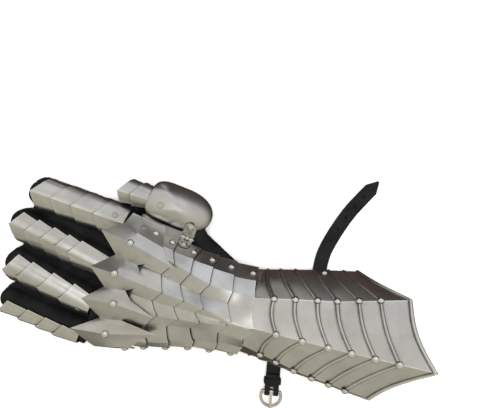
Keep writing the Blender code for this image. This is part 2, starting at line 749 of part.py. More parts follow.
# Glove hand with the base of the thumb
def glove_rings(inset, first_x, last_x):
    """Rings of the glove hand, drawn in by inset. Their underside is cut off flat at the surface."""
    rings = []
    floor = GLOVE_BASE + inset
    for index, (x, thumb_side, pinky_side, height) in enumerate(GLOVE_SECTIONS):
        if index == 0:
            x = first_x
        if index == len(GLOVE_SECTIONS) - 1:
            x = last_x
        tall = (height + GLOVE_SUNK) / 2
        centre = Vector((x, (thumb_side + pinky_side) / 2, GLOVE_BASE + height - tall))
        half = (thumb_side - pinky_side) / 2 - inset
        ring = ring_about(centre, (1, 0, 0), half, tall - inset, GLOVE_SIDES, GLOVE_POWER)
        for point in ring:
            point.z = max(point.z, floor)
        rings.append(ring)
    return rings


def thumb_base_rings(inset, lengthen):
    rings = []
    path = [Vector(p) for p in THUMB_BASE]
    towards_tip = (Vector(THUMB_TIP) - path[0]).normalized()
    for index, place in enumerate(path):
        if index == 0:
            direction = -towards_tip
        else:
            direction = path[min(index + 1, len(path) - 1)] - path[index - 1]
        half, rise = THUMB_BASE_HALF[index]
        start = place + towards_tip * lengthen if index == 0 else place
        rings.append(ring_about(start, direction, half - inset, rise - inset, FINGER_SIDES))
    return rings


def make_glove_hand(leather):
    """Outside of the glove hand less one hollow, which is the inside joined with the finger mouths."""
    front = GLOVE_SECTIONS[0][0]
    rear = GLOVE_SECTIONS[-1][0]
    hand = loft("glove_hand", glove_rings(0.0, front, rear), leather, fan=True)
    boolean(hand, loft("thumb_base", thumb_base_rings(0.0, 0.0), leather, fan=True), "UNION")
    hollow = loft("hollow", glove_rings(LEATHER, front + LEATHER, rear + 2 * LEATHER), leather, fan=True)
    inside = loft("inside", thumb_base_rings(LEATHER, 2 * LEATHER), leather, fan=True)
    boolean(hollow, inside, "UNION")
    for name, finger in FINGERS.items():
        root, tip = finger_frame(name)
        direction = (tip - root).normalized()
        half = finger["root_half"] - MOUTH_RIM
        rise = FINGER_ROOT_RISE - MOUTH_RIM
        ends = (root - direction * 2 * LEATHER, root + direction * 2 * LEATHER)
        rings = [ring_about(end, direction, half, rise, FINGER_SIDES) for end in ends]
        boolean(hollow, loft("mouth", rings, leather, fan=True), "UNION")
    boolean(hand, hollow, "DIFFERENCE")


def thumb_section(x):
    """Centre, half width and half height of the glove thumb at x."""
    root = Vector(THUMB_BASE[0])
    tip = Vector(THUMB_TIP)
    share = (x - root.x) / (tip.x - root.x)
    half = THUMB_BASE_HALF[0][0] + (THUMB_TIP_HALF[0] - THUMB_BASE_HALF[0][0]) * share
    rise = THUMB_BASE_HALF[0][1] + (THUMB_TIP_HALF[1] - THUMB_BASE_HALF[0][1]) * share
    return root.lerp(tip, share), half, rise


def make_glove_thumb(leather):
    root = Vector(THUMB_BASE[0])
    tip = Vector(THUMB_TIP)
    start = root + (tip - root).normalized() * GAP
    plain = ((0.0, 0.0), (0.0, 0.0))
    make_glove_tube("glove_thumb", start, tip, THUMB_BASE_HALF[0], THUMB_TIP_HALF, leather, plain, False)


def make_thumb_scales(steel):
    backs = setbacks(THUMB_SCALE_SETBACK, THUMB_SCALE_ANGLES)
    for index, point in enumerate(THUMB_SCALE_POINTS):
        fronts = [point + back for back in backs]
        if index + 1 < len(THUMB_SCALE_POINTS):
            rears = [THUMB_SCALE_POINTS[index + 1] + back + SCALE_OVERLAP for back in backs]
        else:
            rears = [THUMB_SCALE_REAR] * len(fronts)
        make_scale("thumb_scale_%d" % (index + 1), thumb_section, fronts, rears, THUMB_SCALE_ANGLES, 0, steel)


# Thumb plate and its hinge
def plate_at(x, y):
    """Point of the thumb plate's outer face above x and y, or at its rim's height outside its outline."""
    behind = x > PLATE_CENTRE[0]
    reach = PLATE_BACK if behind else PLATE_FRONT
    power = PLATE_POWER if behind else PLATE_FRONT_POWER
    across = abs(x - PLATE_CENTRE[0]) / reach
    beside = abs(y - PLATE_CENTRE[1]) / PLATE_HALF_WIDTH
    share = min((across**power + beside**power) ** (1 / power), 1.0)
    rise = PLATE_RISE * math.cos(share * math.pi / 2) ** PLATE_FULLNESS
    ahead = max((PLATE_CENTRE[0] - x) / PLATE_FRONT, 0.0)
    brow = PLATE_BROW * ahead**2 * max(1.0 - beside**2, 0.0)
    return Vector((x, y, PLATE_RIM_Z + rise + brow + (PLATE_CENTRE[1] - y) * PLATE_TILT))


def plate_point(ring_share, angle):
    """Point on the thumb plate's outer face, from its crown (0) to its rim (1)."""
    behind = math.cos(angle) > 0
    reach = PLATE_BACK if behind else PLATE_FRONT
    power = PLATE_POWER if behind else PLATE_FRONT_POWER
    c = math.copysign(abs(math.cos(angle)) ** (2 / power), math.cos(angle))
    s = math.copysign(abs(math.sin(angle)) ** (2 / power), math.sin(angle))
    out = reach * ring_share * c
    beside = PLATE_HALF_WIDTH * ring_share * s
    return plate_at(PLATE_CENTRE[0] + out, PLATE_CENTRE[1] + beside)


def plate_normal(x, y):
    step = 0.1
    along_x = plate_at(x + step, y) - plate_at(x - step, y)
    along_y = plate_at(x, y + step) - plate_at(x, y - step)
    return along_x.cross(along_y).normalized()


def make_thumb_plate(steel):
    points = [plate_point(0.0, 0.0)]
    faces = []
    for ring in range(1, PLATE_RINGS + 1):
        for side in range(PLATE_SIDES):
            points.append(plate_point(ring / PLATE_RINGS, 2 * math.pi * side / PLATE_SIDES))
    for side in range(PLATE_SIDES):
        nxt = (side + 1) % PLATE_SIDES
        faces.append((0, 1 + side, 1 + nxt))
        for ring in range(PLATE_RINGS - 1):
            a = 1 + ring * PLATE_SIDES + side
            b = 1 + ring * PLATE_SIDES + nxt
            faces.append((a, a + PLATE_SIDES, b + PLATE_SIDES, b))
    obj = new_object("thumb_plate", mesh_from("thumb_plate", points, faces), steel)
    thicken(obj, STEEL)
    add_rivets(obj, [(plate_at(*PLATE_RIVET), plate_normal(*PLATE_RIVET))], FLAT_RADIUS, FLAT_HEIGHT, 1)


def cylinder(name, start, end, radius, sides, material):
    direction = (end - start).normalized()
    turn = turn_towards(direction)
    rings = []
    for place in (start, end):
        ring = []
        for side in range(sides):
            angle = 2 * math.pi * side / sides
            ring.append(place + turn @ Vector((radius * math.cos(angle), radius * math.sin(angle), 0)))
        rings.append(ring)
    return loft(name, rings, material)


def seat(points, normal, pin):
    """How far a leaf's inner face lies from the pin, along its outward side, to clear what it covers."""
    return max((Vector(point) - pin).dot(normal) for point in points) + GAP


def make_leaf(name, toward, normal, reach, covered, inner_knuckle, steel):
    """Hinge leaf: a round-ended plate from the pin along toward, seated on what it covers, with its knuckles."""
    start_x, end_x = HINGE_X
    middle = (start_x + end_x) / 2
    half = (end_x - start_x) / 2
    third = (end_x - start_x) / 3
    pin = Vector((middle, HINGE_Y, HINGE_Z))
    near = HINGE_BARREL_RADIUS + HINGE_PLAY
    if inner_knuckle:
        edge = half - third - HINGE_PLAY
        tab = edge - LEAF_INSET
        outline = [(-half, near), (-tab, near), (-tab, 0.0), (tab, 0.0), (tab, near), (half, near)]
        spans = [(middle - edge, middle + edge)]
    else:
        edge = half - third
        tab = edge + LEAF_INSET
        side = half - LEAF_INSET
        outline = [(-half, near), (-side, near), (-side, 0.0), (-tab, 0.0), (-tab, near)]
        outline += [(tab, near), (tab, 0.0), (side, 0.0), (side, near), (half, near)]
        spans = [(start_x, start_x + third), (end_x - third, end_x)]
    straight = reach - half * LEAF_ROUND
    for step in range(LEAF_STEPS + 1):
        angle = math.pi * step / LEAF_STEPS
        outline.append((half * math.cos(angle), straight + half * LEAF_ROUND * math.sin(angle)))
    lower = pin + normal * seat(covered, normal, pin)
    bottom = [lower + Vector((x, 0, 0)) + toward * y for x, y in outline]
    if Vector((1, 0, 0)).cross(toward).dot(normal) < 0:
        bottom.reverse()
    top = [point + normal * LEAF_THICK for point in bottom]
    leaf = loft(name, [bottom, top], steel)
    for low, high in spans:
        a = Vector((low, HINGE_Y, HINGE_Z))
        b = Vector((high, HINGE_Y, HINGE_Z))
        boolean(leaf, cylinder("barrel", a, b, HINGE_BARREL_RADIUS, PIN_SIDES, steel), "UNION")
    start = Vector((start_x - 1, HINGE_Y, HINGE_Z))
    end = Vector((end_x + 1, HINGE_Y, HINGE_Z))
    boolean(leaf, cylinder("bore", start, end, HINGE_PIN_RADIUS + GAP, PIN_SIDES, steel), "DIFFERENCE")
    add_rivets(leaf, [(lower + toward * straight + normal * LEAF_THICK, normal)])


def make_hinge(steel):
    start_x, end_x = HINGE_X
    inside = [start_x + (end_x - start_x) * step / 6 for step in range(7)]
    flank = []
    for x in inside:
        low = along(HAND_LINES["thumb_edge"], x)
        high = along(HAND_LINES["thumb_bend"], x)
        front, rear = lame_front(1, "thumb_edge"), lame_rear(1, "thumb_edge")
        raised = PLATE_LIFT * (x - front) / (rear - front)
        side_way = Vector((0, high.z - low.z, low.y - high.y)).normalized()
        flank += [low + side_way * raised, high + side_way * raised]
    toward = (flank[7] - flank[6]).normalized()
    toward.x = 0.0
    make_leaf("hinge_leaf_hand", toward, Vector((0, toward.z, -toward.y)), HAND_LEAF_REACH, flank, False, steel)
    shell = []
    for x in inside:
        for step in range(12):
            shell.append(plate_at(x, HINGE_Y + THUMB_LEAF_REACH * (step + 1) / 12))
    angle = math.radians(LEAF_SLOPE)
    toward = Vector((0, math.cos(angle), math.sin(angle)))
    normal = Vector((0, -math.sin(angle), math.cos(angle)))
    make_leaf("hinge_leaf_thumb", toward, normal, THUMB_LEAF_REACH, shell, True, steel)
    start = Vector((start_x - HINGE_PIN_RADIUS, HINGE_Y, HINGE_Z))
    end = Vector((end_x + HINGE_PIN_RADIUS, HINGE_Y, HINGE_Z))
    cylinder("hinge_pin", start, end, HINGE_PIN_RADIUS, PIN_SIDES, steel)


# Straps
def band_rings(path, across, width, thick):
    """Rings of a flat strap along a path that stays square to across."""
    rings = []
    half = across * (width / 2)
    for index in range(len(path)):
        before = path[max(index - 1, 0)]
        after = path[min(index + 1, len(path) - 1)]
        normal = across.cross(after - before).normalized()
        bend = 1.0
        if 0 < index < len(path) - 1:
            turn = (path[index] - before).angle(after - path[index])
            bend = 1.0 / math.cos(turn / 2)
        rise = normal * (thick / 2 * bend)
        place = path[index]
        rings.append([place + half + rise, place + half - rise, place - half - rise, place - half + rise])
    return rings


def strap_rings(path, width, thick):
    """Rings of a flat strap that lies on the surface and turns sideways as its path does."""
    rings = []
    for index, place in enumerate(path):
        ahead = path[min(index + 1, len(path) - 1)] - path[max(index - 1, 0)]
        across = Vector((-ahead.y, ahead.x, 0)).normalized()
        rings += band_rings([place, place + ahead], across, width, thick)[:1]
    return rings


def point_back_along(path, distance):
    """Point at a distance back from the end of a path."""
    for index in range(len(path) - 1, 0, -1):
        run = (path[index] - path[index - 1]).length
        if distance <= run:
            return path[index].lerp(path[index - 1], distance / run)
        distance -= run
    return path[0]


def make_long_strap(leather):
    path = [Vector(p) for p in LONG_STRAP_PATH]
    tip = Vector(LONG_STRAP_TIP)
    last = path[-1]
    shoulder = last.lerp(tip, 1 - LONG_STRAP_POINT / (tip - last).length)
    rings = strap_rings(path + [shoulder, tip], STRAP_WIDTH, STRAP_THICK)
    point = []
    for place in rings[-1]:
        narrowed = tip + (place - tip) * STRAP_TIP_SHARE
        narrowed.z = place.z
        point.append(narrowed)
    rings[-1] = point
    strap = loft("strap_long", rings, leather)
    for index in range(STRAP_HOLES):
        place = point_back_along(path + [tip], STRAP_HOLE_FIRST + STRAP_HOLE_PITCH * index)
        low = place - Vector((0, 0, STRAP_THICK * 2))
        high = place + Vector((0, 0, STRAP_THICK * 2))
        boolean(strap, cylinder("hole", low, high, STRAP_HOLE_RADIUS, STRAP_HOLE_SIDES, leather), "DIFFERENCE")


def buckle_place():
    """Start of the short strap, its way out, its way across, and the middle of the buckle's bar."""
    forward = Vector((*SHORT_STRAP_DIRECTION, 0)).normalized()
    across = Vector((forward.y, -forward.x, 0))
    start = Vector((*SHORT_STRAP_START, 0))
    bar = start + forward * SHORT_STRAP_LENGTH
    bar.z = STRAP_REST + STRAP_THICK + GAP + BUCKLE_BAR_RADIUS
    return start, forward, across, bar


def make_short_strap(leather):
    start, forward, across, bar = buckle_place()
    up = Vector((0, 0, 1))
    turn_radius = BUCKLE_BAR_RADIUS + GAP + STRAP_THICK / 2
    keeper_z = KEEPER_WALL + GAP + STRAP_REST + STRAP_THICK / 2
    keeper_at = SHORT_STRAP_LENGTH - KEEPER_AT
    layer = STRAP_THICK + GAP
    path = [start + forward * s + up * z for s, z in SHORT_STRAP_ROOT]
    path.append(start + forward * (keeper_at - KEEPER_WIDTH) + up * keeper_z)
    path.append(start + forward * (keeper_at + KEEPER_WIDTH / 2) + up * keeper_z)
    for step in range(FOLD_STEPS + 1):
        angle = math.radians(-90 + 180 * step / FOLD_STEPS)
        path.append(bar + forward * (turn_radius * math.cos(angle)) + up * (turn_radius * math.sin(angle)))
    path.append(start + forward * (keeper_at + KEEPER_WIDTH / 2 + 0.5) + up * (keeper_z + layer))
    path.append(start + forward * (keeper_at - FLAP_BEYOND) + up * (keeper_z + layer))
    strap = loft("strap_short", band_rings(path, across, STRAP_WIDTH, STRAP_THICK), leather)
    back = bar - forward * (TONGUE_SLOT + BUCKLE_BAR_RADIUS)
    front = bar + forward * (turn_radius + STRAP_THICK)
    cutter = loft("slot", band_rings([back, front], across, TONGUE_SLOT, 6 * STRAP_THICK), leather)
    boolean(strap, cutter, "DIFFERENCE")
    keeper = start + forward * keeper_at + up * (keeper_z + layer / 2)
    ends = [keeper - forward * (KEEPER_WIDTH / 2), keeper + forward * (KEEPER_WIDTH / 2)]
    inner_width = STRAP_WIDTH + 2 * GAP
    inner_height = layer + STRAP_THICK + 2 * GAP
    outer = band_rings(ends, across, inner_width + 2 * KEEPER_WALL, inner_height + 2 * KEEPER_WALL)
    loop = loft("strap_keeper", outer, leather)
    ends = [keeper - forward * KEEPER_WIDTH, keeper + forward * KEEPER_WIDTH]
    boolean(loop, loft("inside", band_rings(ends, across, inner_width, inner_height), leather), "DIFFERENCE")


def make_buckle(nickel):
    start, forward, across, bar = buckle_place()
    up = Vector((0, 0, 1))
    half_bar = STRAP_WIDTH / 2 + BUCKLE_BAR_RADIUS + BUCKLE_ROOM
    reach = math.sqrt(BUCKLE_RADIUS**2 - half_bar**2)
    centre = bar + forward * reach
    limit = math.atan2(half_bar, -reach)
    path = []
    for step in range(BUCKLE_STEPS + 1):
        angle = limit - 2 * limit * step / BUCKLE_STEPS
        out = forward * math.cos(angle) + across * math.sin(angle)
        path.append(centre + out * BUCKLE_RADIUS)
    points = []
    count = len(path)
    for index in range(count):
        before = (path[index] - path[index - 1]).normalized()
        after = (path[(index + 1) % count] - path[index]).normalized()
        side_way = up.cross((before + after).normalized())
        miter = 1.0 / math.cos(before.angle(after) / 2)
        for side in range(BUCKLE_SIDES):
            angle = 2 * math.pi * side / BUCKLE_SIDES
            out = side_way * (math.cos(angle) * BUCKLE_BAR_RADIUS * miter)
            points.append(path[index] + out + up * (math.sin(angle) * BUCKLE_BAR_RADIUS))
    faces = []
    for index in range(count):
        for side in range(BUCKLE_SIDES):
            a = index * BUCKLE_SIDES + side
            b = index * BUCKLE_SIDES + (side + 1) % BUCKLE_SIDES
            c = ((index + 1) % count) * BUCKLE_SIDES + (side + 1) % BUCKLE_SIDES
            d = ((index + 1) % count) * BUCKLE_SIDES + side
            faces.append((a, b, c, d))
    new_object("buckle_frame", mesh_from("buckle_frame", points, faces), nickel)

    a = bar - across * (TONGUE_WIDTH / 2)
    b = bar + across * (TONGUE_WIDTH / 2)
    outer = BUCKLE_BAR_RADIUS + GAP + TONGUE_WALL
    tongue = cylinder("buckle_tongue", a, b, outer, TONGUE_SIDES, nickel)
    level = up * (BUCKLE_BAR_RADIUS + TONGUE_PLAY + TONGUE_THICK / 2)
    ends = [bar + level, bar + level + forward * (reach + BUCKLE_RADIUS + BUCKLE_BAR_RADIUS)]
    boolean(tongue, loft("rod", band_rings(ends, across, TONGUE_ROD, TONGUE_THICK), nickel), "UNION")
    a = bar - across * TONGUE_WIDTH
    b = bar + across * TONGUE_WIDTH
    boolean(tongue, cylinder("bore", a, b, BUCKLE_BAR_RADIUS + GAP, TONGUE_SIDES, nickel), "DIFFERENCE")


# The whole piece over the origin
def centre_on_origin():
    """Moves every mesh so that the bottom centre of the whole piece's box is the origin."""
    objects = list(bpy.data.objects)
    places = [vertex.co for obj in objects for vertex in obj.data.vertices]
    lowest = [min(place[axis] for place in places) for axis in range(3)]
    highest = [max(place[axis] for place in places) for axis in range(3)]
    middle = Vector(((lowest[0] + highest[0]) / 2, (lowest[1] + highest[1]) / 2, lowest[2]))
    for obj in objects:
        for vertex in obj.data.vertices:
            vertex.co -= middle
        obj.data.update()


def main():
    for obj in list(bpy.data.objects):
        bpy.data.objects.remove(obj)
    steel = make_material("steel", (0.56, 0.55, 0.52), 0.32, 1.0)
    leather = make_material("leather", (0.02, 0.022, 0.022), 0.55, 0.0)
    nickel = make_material("nickel", (0.66, 0.65, 0.62), 0.18, 1.0)
    make_cuff(steel)
    make_lames(steel)
    make_knuckle_plate(steel)
    make_glove_fingers(leather)
    make_finger_scales(steel)
    make_glove_hand(leather)
    make_glove_thumb(leather)
    make_thumb_scales(steel)
    make_thumb_plate(steel)
    make_hinge(steel)
    make_long_strap(leather)
    make_short_strap(leather)
    make_buckle(nickel)
    centre_on_origin()


main()
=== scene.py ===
import math

import bpy
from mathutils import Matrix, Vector, noise


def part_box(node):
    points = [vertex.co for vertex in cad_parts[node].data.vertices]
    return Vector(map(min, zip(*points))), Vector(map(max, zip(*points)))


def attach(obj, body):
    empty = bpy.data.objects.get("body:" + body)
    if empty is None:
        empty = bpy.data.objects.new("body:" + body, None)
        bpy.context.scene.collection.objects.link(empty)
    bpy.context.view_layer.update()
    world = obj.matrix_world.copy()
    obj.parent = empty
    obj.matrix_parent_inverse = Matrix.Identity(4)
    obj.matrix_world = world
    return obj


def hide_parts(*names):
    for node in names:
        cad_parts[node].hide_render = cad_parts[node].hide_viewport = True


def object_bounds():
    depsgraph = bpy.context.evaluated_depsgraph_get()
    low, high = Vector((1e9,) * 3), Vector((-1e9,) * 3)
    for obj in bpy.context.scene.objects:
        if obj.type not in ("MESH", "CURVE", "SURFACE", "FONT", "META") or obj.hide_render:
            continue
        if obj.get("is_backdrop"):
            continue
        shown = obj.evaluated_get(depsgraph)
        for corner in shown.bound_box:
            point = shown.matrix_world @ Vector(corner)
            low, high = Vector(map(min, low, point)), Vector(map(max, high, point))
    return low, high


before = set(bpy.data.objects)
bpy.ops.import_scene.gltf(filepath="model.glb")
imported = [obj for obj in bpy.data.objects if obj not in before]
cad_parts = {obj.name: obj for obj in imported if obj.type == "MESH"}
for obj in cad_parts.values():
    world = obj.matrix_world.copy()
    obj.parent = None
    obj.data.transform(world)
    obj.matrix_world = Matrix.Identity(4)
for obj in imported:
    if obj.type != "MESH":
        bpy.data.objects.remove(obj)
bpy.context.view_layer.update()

# The surface that the gauntlet lies on, the camera straight above it as in the photograph, and soft light.
# The gauntlet's lengths are millimetres in the armourer's own frame: +X to the elbow, +Y to the thumb, +Z up.
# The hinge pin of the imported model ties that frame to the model's. The room's lengths are metres.
MM = 0.001
PIN_PLACE = Vector((-37.0, 3.2, 25.0))
PHOTO_SPOT = Vector((7.0, 57.0, 500.0))
PHOTO_TURN = 22.0
PHOTO_LENS = 36.0 * 490.0 / 500.0
FLOOR_HALF = 6.0
FLOOR_DROP = 0.0002
LIGHT_PLACE = Vector((0.1, 0.25, 1.6))

pin_low, pin_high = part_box("hinge_pin")
SHIFT = (Vector(pin_low) + Vector(pin_high)) * (0.5 / MM) - PIN_PLACE


def link(name, data):
    obj = bpy.data.objects.new(name, data)
    bpy.context.scene.collection.objects.link(obj)
    return obj


camera = link("camera", bpy.data.cameras.new("camera"))
camera.data.lens = PHOTO_LENS
camera.location = (PHOTO_SPOT + SHIFT) * MM
camera.rotation_euler = (0.0, 0.0, math.radians(PHOTO_TURN))
bpy.context.scene.camera = camera
bpy.context.scene.view_settings.view_transform = "Standard"


class Wire:
    """One output of a node. Sums, differences and products of wires add Math nodes."""

    def __init__(self, tree, socket=None):
        self.tree = tree
        self.socket = socket

    def node(self, kind, settings=None, inputs=None, output=0):
        """Any node: its settings first, then the values or wires of its sockets."""
        made = self.tree.nodes.new(kind)
        for key, value in (settings or {}).items():
            setattr(made, key, value)
        for key, value in (inputs or {}).items():
            if isinstance(value, Wire):
                self.tree.links.new(value.socket, made.inputs[key])
            else:
                made.inputs[key].default_value = value
        return Wire(self.tree, made.outputs[output])

    def math(self, operation, first, second):
        return self.node("ShaderNodeMath", {"operation": operation}, {0: first, 1: second})

    def __add__(self, other):
        return self.math("ADD", self, other)

    __radd__ = __add__

    def __sub__(self, other):
        return self.math("SUBTRACT", self, other)

    def __rsub__(self, other):
        return self.math("SUBTRACT", other, self)

    def __mul__(self, other):
        return self.math("MULTIPLY", self, other)

    __rmul__ = __mul__

    def between(self, low, high):
        """0 at low, 1 at high, smooth in between."""
        return self.node("ShaderNodeMapRange", {"interpolation_type": "SMOOTHSTEP"},
                         {"Value": self, "From Min": low, "From Max": high})

    def mix(self, first, second):
        """Colour that goes from first to second as this wire goes from 0 to 1."""
        first = (*first, 1.0) if isinstance(first, tuple) else first
        second = (*second, 1.0) if isinstance(second, tuple) else second
        return self.node("ShaderNodeMix", {"data_type": "RGBA"}, {0: self, 6: first, 7: second}, 2)

    def split(self):
        """The three numbers of a vector."""
        parts = self.node("ShaderNodeSeparateXYZ", inputs={0: self}).socket.node.outputs
        return [Wire(self.tree, part) for part in parts]


def new_material(name, **fixed):
    """A material with the given values on its Principled shader, and a start for its wires."""
    material = bpy.data.materials.new(name)
    material.use_nodes = True
    shader = material.node_tree.nodes["Principled BSDF"]
    for key, value in fixed.items():
        shader.inputs[key.replace("_", " ")].default_value = value
    return material, shader, Wire(material.node_tree)


def feed(shader, **wires):
    for key, wire in wires.items():
        wire.tree.links.new(wire.socket, shader.inputs[key.replace("_", " ")])


def ground(tree, scale, detail=2.0, stretch=(1.0, 1.0, 1.0), kind="ShaderNodeTexNoise"):
    """Noise over the object's own coordinates, stretched along an axis where stretch is small."""
    place = tree.node("ShaderNodeTexCoord", output="Object")
    place = tree.node("ShaderNodeMapping", inputs={"Vector": place, "Scale": stretch})
    return tree.node(kind, inputs={"Vector": place, "Scale": scale, "Detail": detail})


paper, paper_shader, tree = new_material("pale floor", Roughness=0.9, Specular_IOR_Level=0.1)
tone = ground(tree, 3.0).between(0.3, 0.7).mix((0.83, 0.83, 0.83), (0.86, 0.86, 0.86))
feed(paper_shader, Base_Color=tone)
floor_mesh = bpy.data.meshes.new("floor")
corners = [(FLOOR_HALF * x, FLOOR_HALF * y, 0) for x, y in ((-1, -1), (1, -1), (1, 1), (-1, 1))]
floor_mesh.from_pydata(corners, [], [(0, 1, 2, 3)])
floor_mesh.materials.append(paper)
floor = link("floor", floor_mesh)
floor.location.z = -FLOOR_DROP
floor.visible_glossy = False
floor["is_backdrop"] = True

overhead = link("overhead", bpy.data.lights.new("overhead", "AREA"))
overhead.data.shape = "DISK"
overhead.data.size = 1.6
overhead.data.energy = 34.0
overhead.location = LIGHT_PLACE
overhead.rotation_euler = (-LIGHT_PLACE).to_track_quat("-Z", "Y").to_euler()
overhead.visible_glossy = False

room = bpy.data.worlds.new("room")
room.use_nodes = True
bpy.context.scene.world = room
tree = Wire(room.node_tree)
x, y, z = tree.node("ShaderNodeTexCoord", output="Generated").split()


def patch(direction, start, full):
    """1 towards a direction, fading to 0 away from it."""
    direction = Vector(direction).normalized()
    return (x * direction.x + y * direction.y + z * direction.z).between(start, full)


# What the steel mirrors, by direction: a pale upper part and a dark lower one, a bluish window, a dark patch
# and a bright strip low on the thumb side, and a lamp nearly overhead. The camera itself sees a pale grey.
upper = (z + (1 - y.between(-0.5, 0.3)) * 0.4).between(0.04, 0.30)
window = y.between(0.74, 0.84) * z.between(0.12, 0.3)
window = window * x.between(-0.75, -0.55) * (1 - x.between(0.0, 0.10))
lamp = patch((-0.10, 0.18, 0.975), 0.968, 0.995)
dusk = patch((-0.5, 0.85, 0.08), 0.955, 0.99)
flank = y.between(0.82, 0.90) * z.between(-0.42, -0.10)
flank = flank * x.between(-0.48, -0.38) * (1 - x.between(-0.30, -0.20))
above = y.between(-0.7, 0.6).mix((0.59, 0.565, 0.465), (0.80, 0.77, 0.725))
above = window.mix(above, (0.92, 0.97, 1.08))
below = z.between(-0.8, -0.1).mix((0.085, 0.050, 0.042), (0.014, 0.012, 0.012))
colour = upper.mix(below, above)
colour = flank.mix(colour, (1.05, 1.03, 0.97))
colour = dusk.mix(colour, (0.05, 0.048, 0.045))
colour = lamp.mix(colour, (1.7, 1.7, 1.7))
seen = tree.node("ShaderNodeLightPath", output="Is Camera Ray")
background = room.node_tree.nodes["Background"]
feed(background, Color=seen.mix(colour, (0.93, 0.93, 0.93)))


# Satin mild steel, 1.2 mm sheet, brushed by hand and lightly smudged. Every plate of the gauntlet is cut from
# it, folded along its ridges and pointed or cut to an ogee at its free edge. Shade is painted dark into the
# steel where one plate runs under the next and in creases, and the free edges are worn bright.
STEEL = 1.2


def brushed_steel(name, light, dark, shine=0.30, smudge=0.14, grain=1.0):
    material, shader, tree = new_material(name, Metallic=1.0)
    grime = tree.node("ShaderNodeAttribute", {"attribute_name": "grime"}, output="Fac")
    wear = tree.node("ShaderNodeAttribute", {"attribute_name": "wear"}, output="Fac")
    cloud = ground(tree, 26.0, 4.0).between(0.3, 0.75)
    patchy = ground(tree, 95.0, 3.0).between(0.35, 0.7)
    brush = ground(tree, 900.0, 3.0, (0.05, 1.0, 1.0))
    fine = ground(tree, 1500.0, 2.0, (1.0, 0.12, 1.0))
    tone = (cloud * 0.5 + brush * 0.25 + patchy * 0.25).mix(light, dark)
    tone = (wear * 0.8).mix(tone, (0.90, 0.90, 0.89))
    # Painted shade: the colour goes nearly black where this attribute is high. It stands in for the shadow in
    # the gaps under plates, in creases and round rivet feet.
    tone = (grime * (patchy * 0.25 + 0.75)).mix(tone, (0.035, 0.030, 0.026))
    rough = cloud * smudge + brush * 0.10 + grime * 0.25 + (shine - 0.08)
    height = brush * 0.4 * grain + fine * 0.06 * grain + cloud * 1.2 + patchy * 0.5
    bump = tree.node("ShaderNodeBump", inputs={"Strength": 0.25, "Distance": 0.00006, "Height": height})
    feed(shader, Base_Color=tone, Roughness=rough, Normal=bump)
    return material


steel = brushed_steel("satin steel", (0.66, 0.655, 0.635), (0.50, 0.495, 0.475))


def mesh_of(name, points, faces):
    """Mesh from millimetre points in the armourer's frame."""
    mesh = bpy.data.meshes.new(name)
    mesh.from_pydata([(Vector(point) + SHIFT) * MM for point in points], [], faces)
    mesh.update()
    return mesh


def settle(obj, crease=30.0):
    """Turns an object and its modifiers into a plain mesh, smooth but for folds sharper than crease."""
    graph = bpy.context.evaluated_depsgraph_get()
    mesh = bpy.data.meshes.new_from_object(obj.evaluated_get(graph))
    obj.modifiers.clear()
    obj.data = mesh
    mesh.shade_smooth()
    mesh.set_sharp_from_angle(angle=math.radians(crease))
    return obj


def finish(obj, nodes, body="gauntlet", material=steel, slot="steel"):
    """Gives a piece its material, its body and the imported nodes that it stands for."""
    obj.data.materials.clear()
    obj.data.materials.append(material)
    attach(obj, body)
    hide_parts(*nodes)


def paint(mesh, **values):
    """Stores a number for each point of a mesh, for a material to read."""
    for key, numbers in values.items():
        attribute = mesh.attributes.new(key, "FLOAT", "POINT")
        attribute.data.foreach_set("value", numbers)


def sheet(name, grid):
    """Open sheet through a grid of points: rows along X, columns from thumb to little finger."""
    columns = len(grid[0])
    faces = []
    for row in range(len(grid) - 1):
        for corner in range(row * columns, (row + 1) * columns - 1):
            faces.append((corner, corner + 1, corner + 1 + columns, corner + columns))
    return link(name, mesh_of(name, [point for row in grid for point in row], faces))


def thicken(obj, wall=STEEL):
    """Gives a sheet its thickness, inwards from its face."""
    solid = obj.modifiers.new("sheet", "SOLIDIFY")
    solid.thickness = wall * MM
    solid.offset = -1.0


def break_edges(obj, width, limit=50.0, segments=2):
    bevel = obj.modifiers.new("edges", "BEVEL")
    bevel.width = width * MM
    bevel.segments = segments
    bevel.limit_method = "ANGLE"
    bevel.angle_limit = math.radians(limit)
    bevel.use_clamp_overlap = True


def plate(name, grid, marks, edge=0.28, crease=16.0):
    """Plate whose outer face is a grid of points. Marks are its painted shade and its wear, one pair for each
    row.
    """
    obj = sheet(name, grid)
    side = [1.0, *[0.0] * (len(grid[0]) - 2), 1.0]
    paint(obj.data, grime=[shaded for shaded, worn in marks for rim in side],
          wear=[max(worn, rim) for shaded, worn in marks for rim in side])
    thicken(obj)
    break_edges(obj, edge)
    return settle(obj, crease)


def along(points, x):
    """Point of a smooth line at x. The line runs through its points, straight beyond them."""
    last = len(points) - 1
    index = 0
    while index < last - 1 and x > points[index + 1][0]:
        index += 1
    a = Vector(points[index])
    b = Vector(points[index + 1])
    span = b.x - a.x
    share = (x - a.x) / span
    if share < 0.0 or share > 1.0:
        return a.lerp(b, share)
    before = Vector(points[index - 1]) if index > 0 else a - (b - a)
    after = Vector(points[index + 2]) if index < last - 1 else b + (b - a)
    slope_a = (b - before) / (b.x - before.x)
    slope_b = (after - a) / (after.x - a.x)
    held = 2 * share**3 - 3 * share**2 + 1
    leave, reach = share**3 - 2 * share**2 + share, share**3 - share**2
    return a * held + slope_a * (leave * span) + b * (1 - held) + slope_b * (reach * span)


def run_at(points, index):
    """Way that a line of points runs at one of them."""
    return points[min(index + 1, len(points) - 1)] - points[max(index - 1, 0)]


def column_normals(row):
    """Outward directions across a row of points that runs from the thumb side to the little finger."""
    runs = [run_at(row, index) for index in range(len(row))]
    return [Vector((0.0, run.z, -run.y)).normalized() for run in runs]


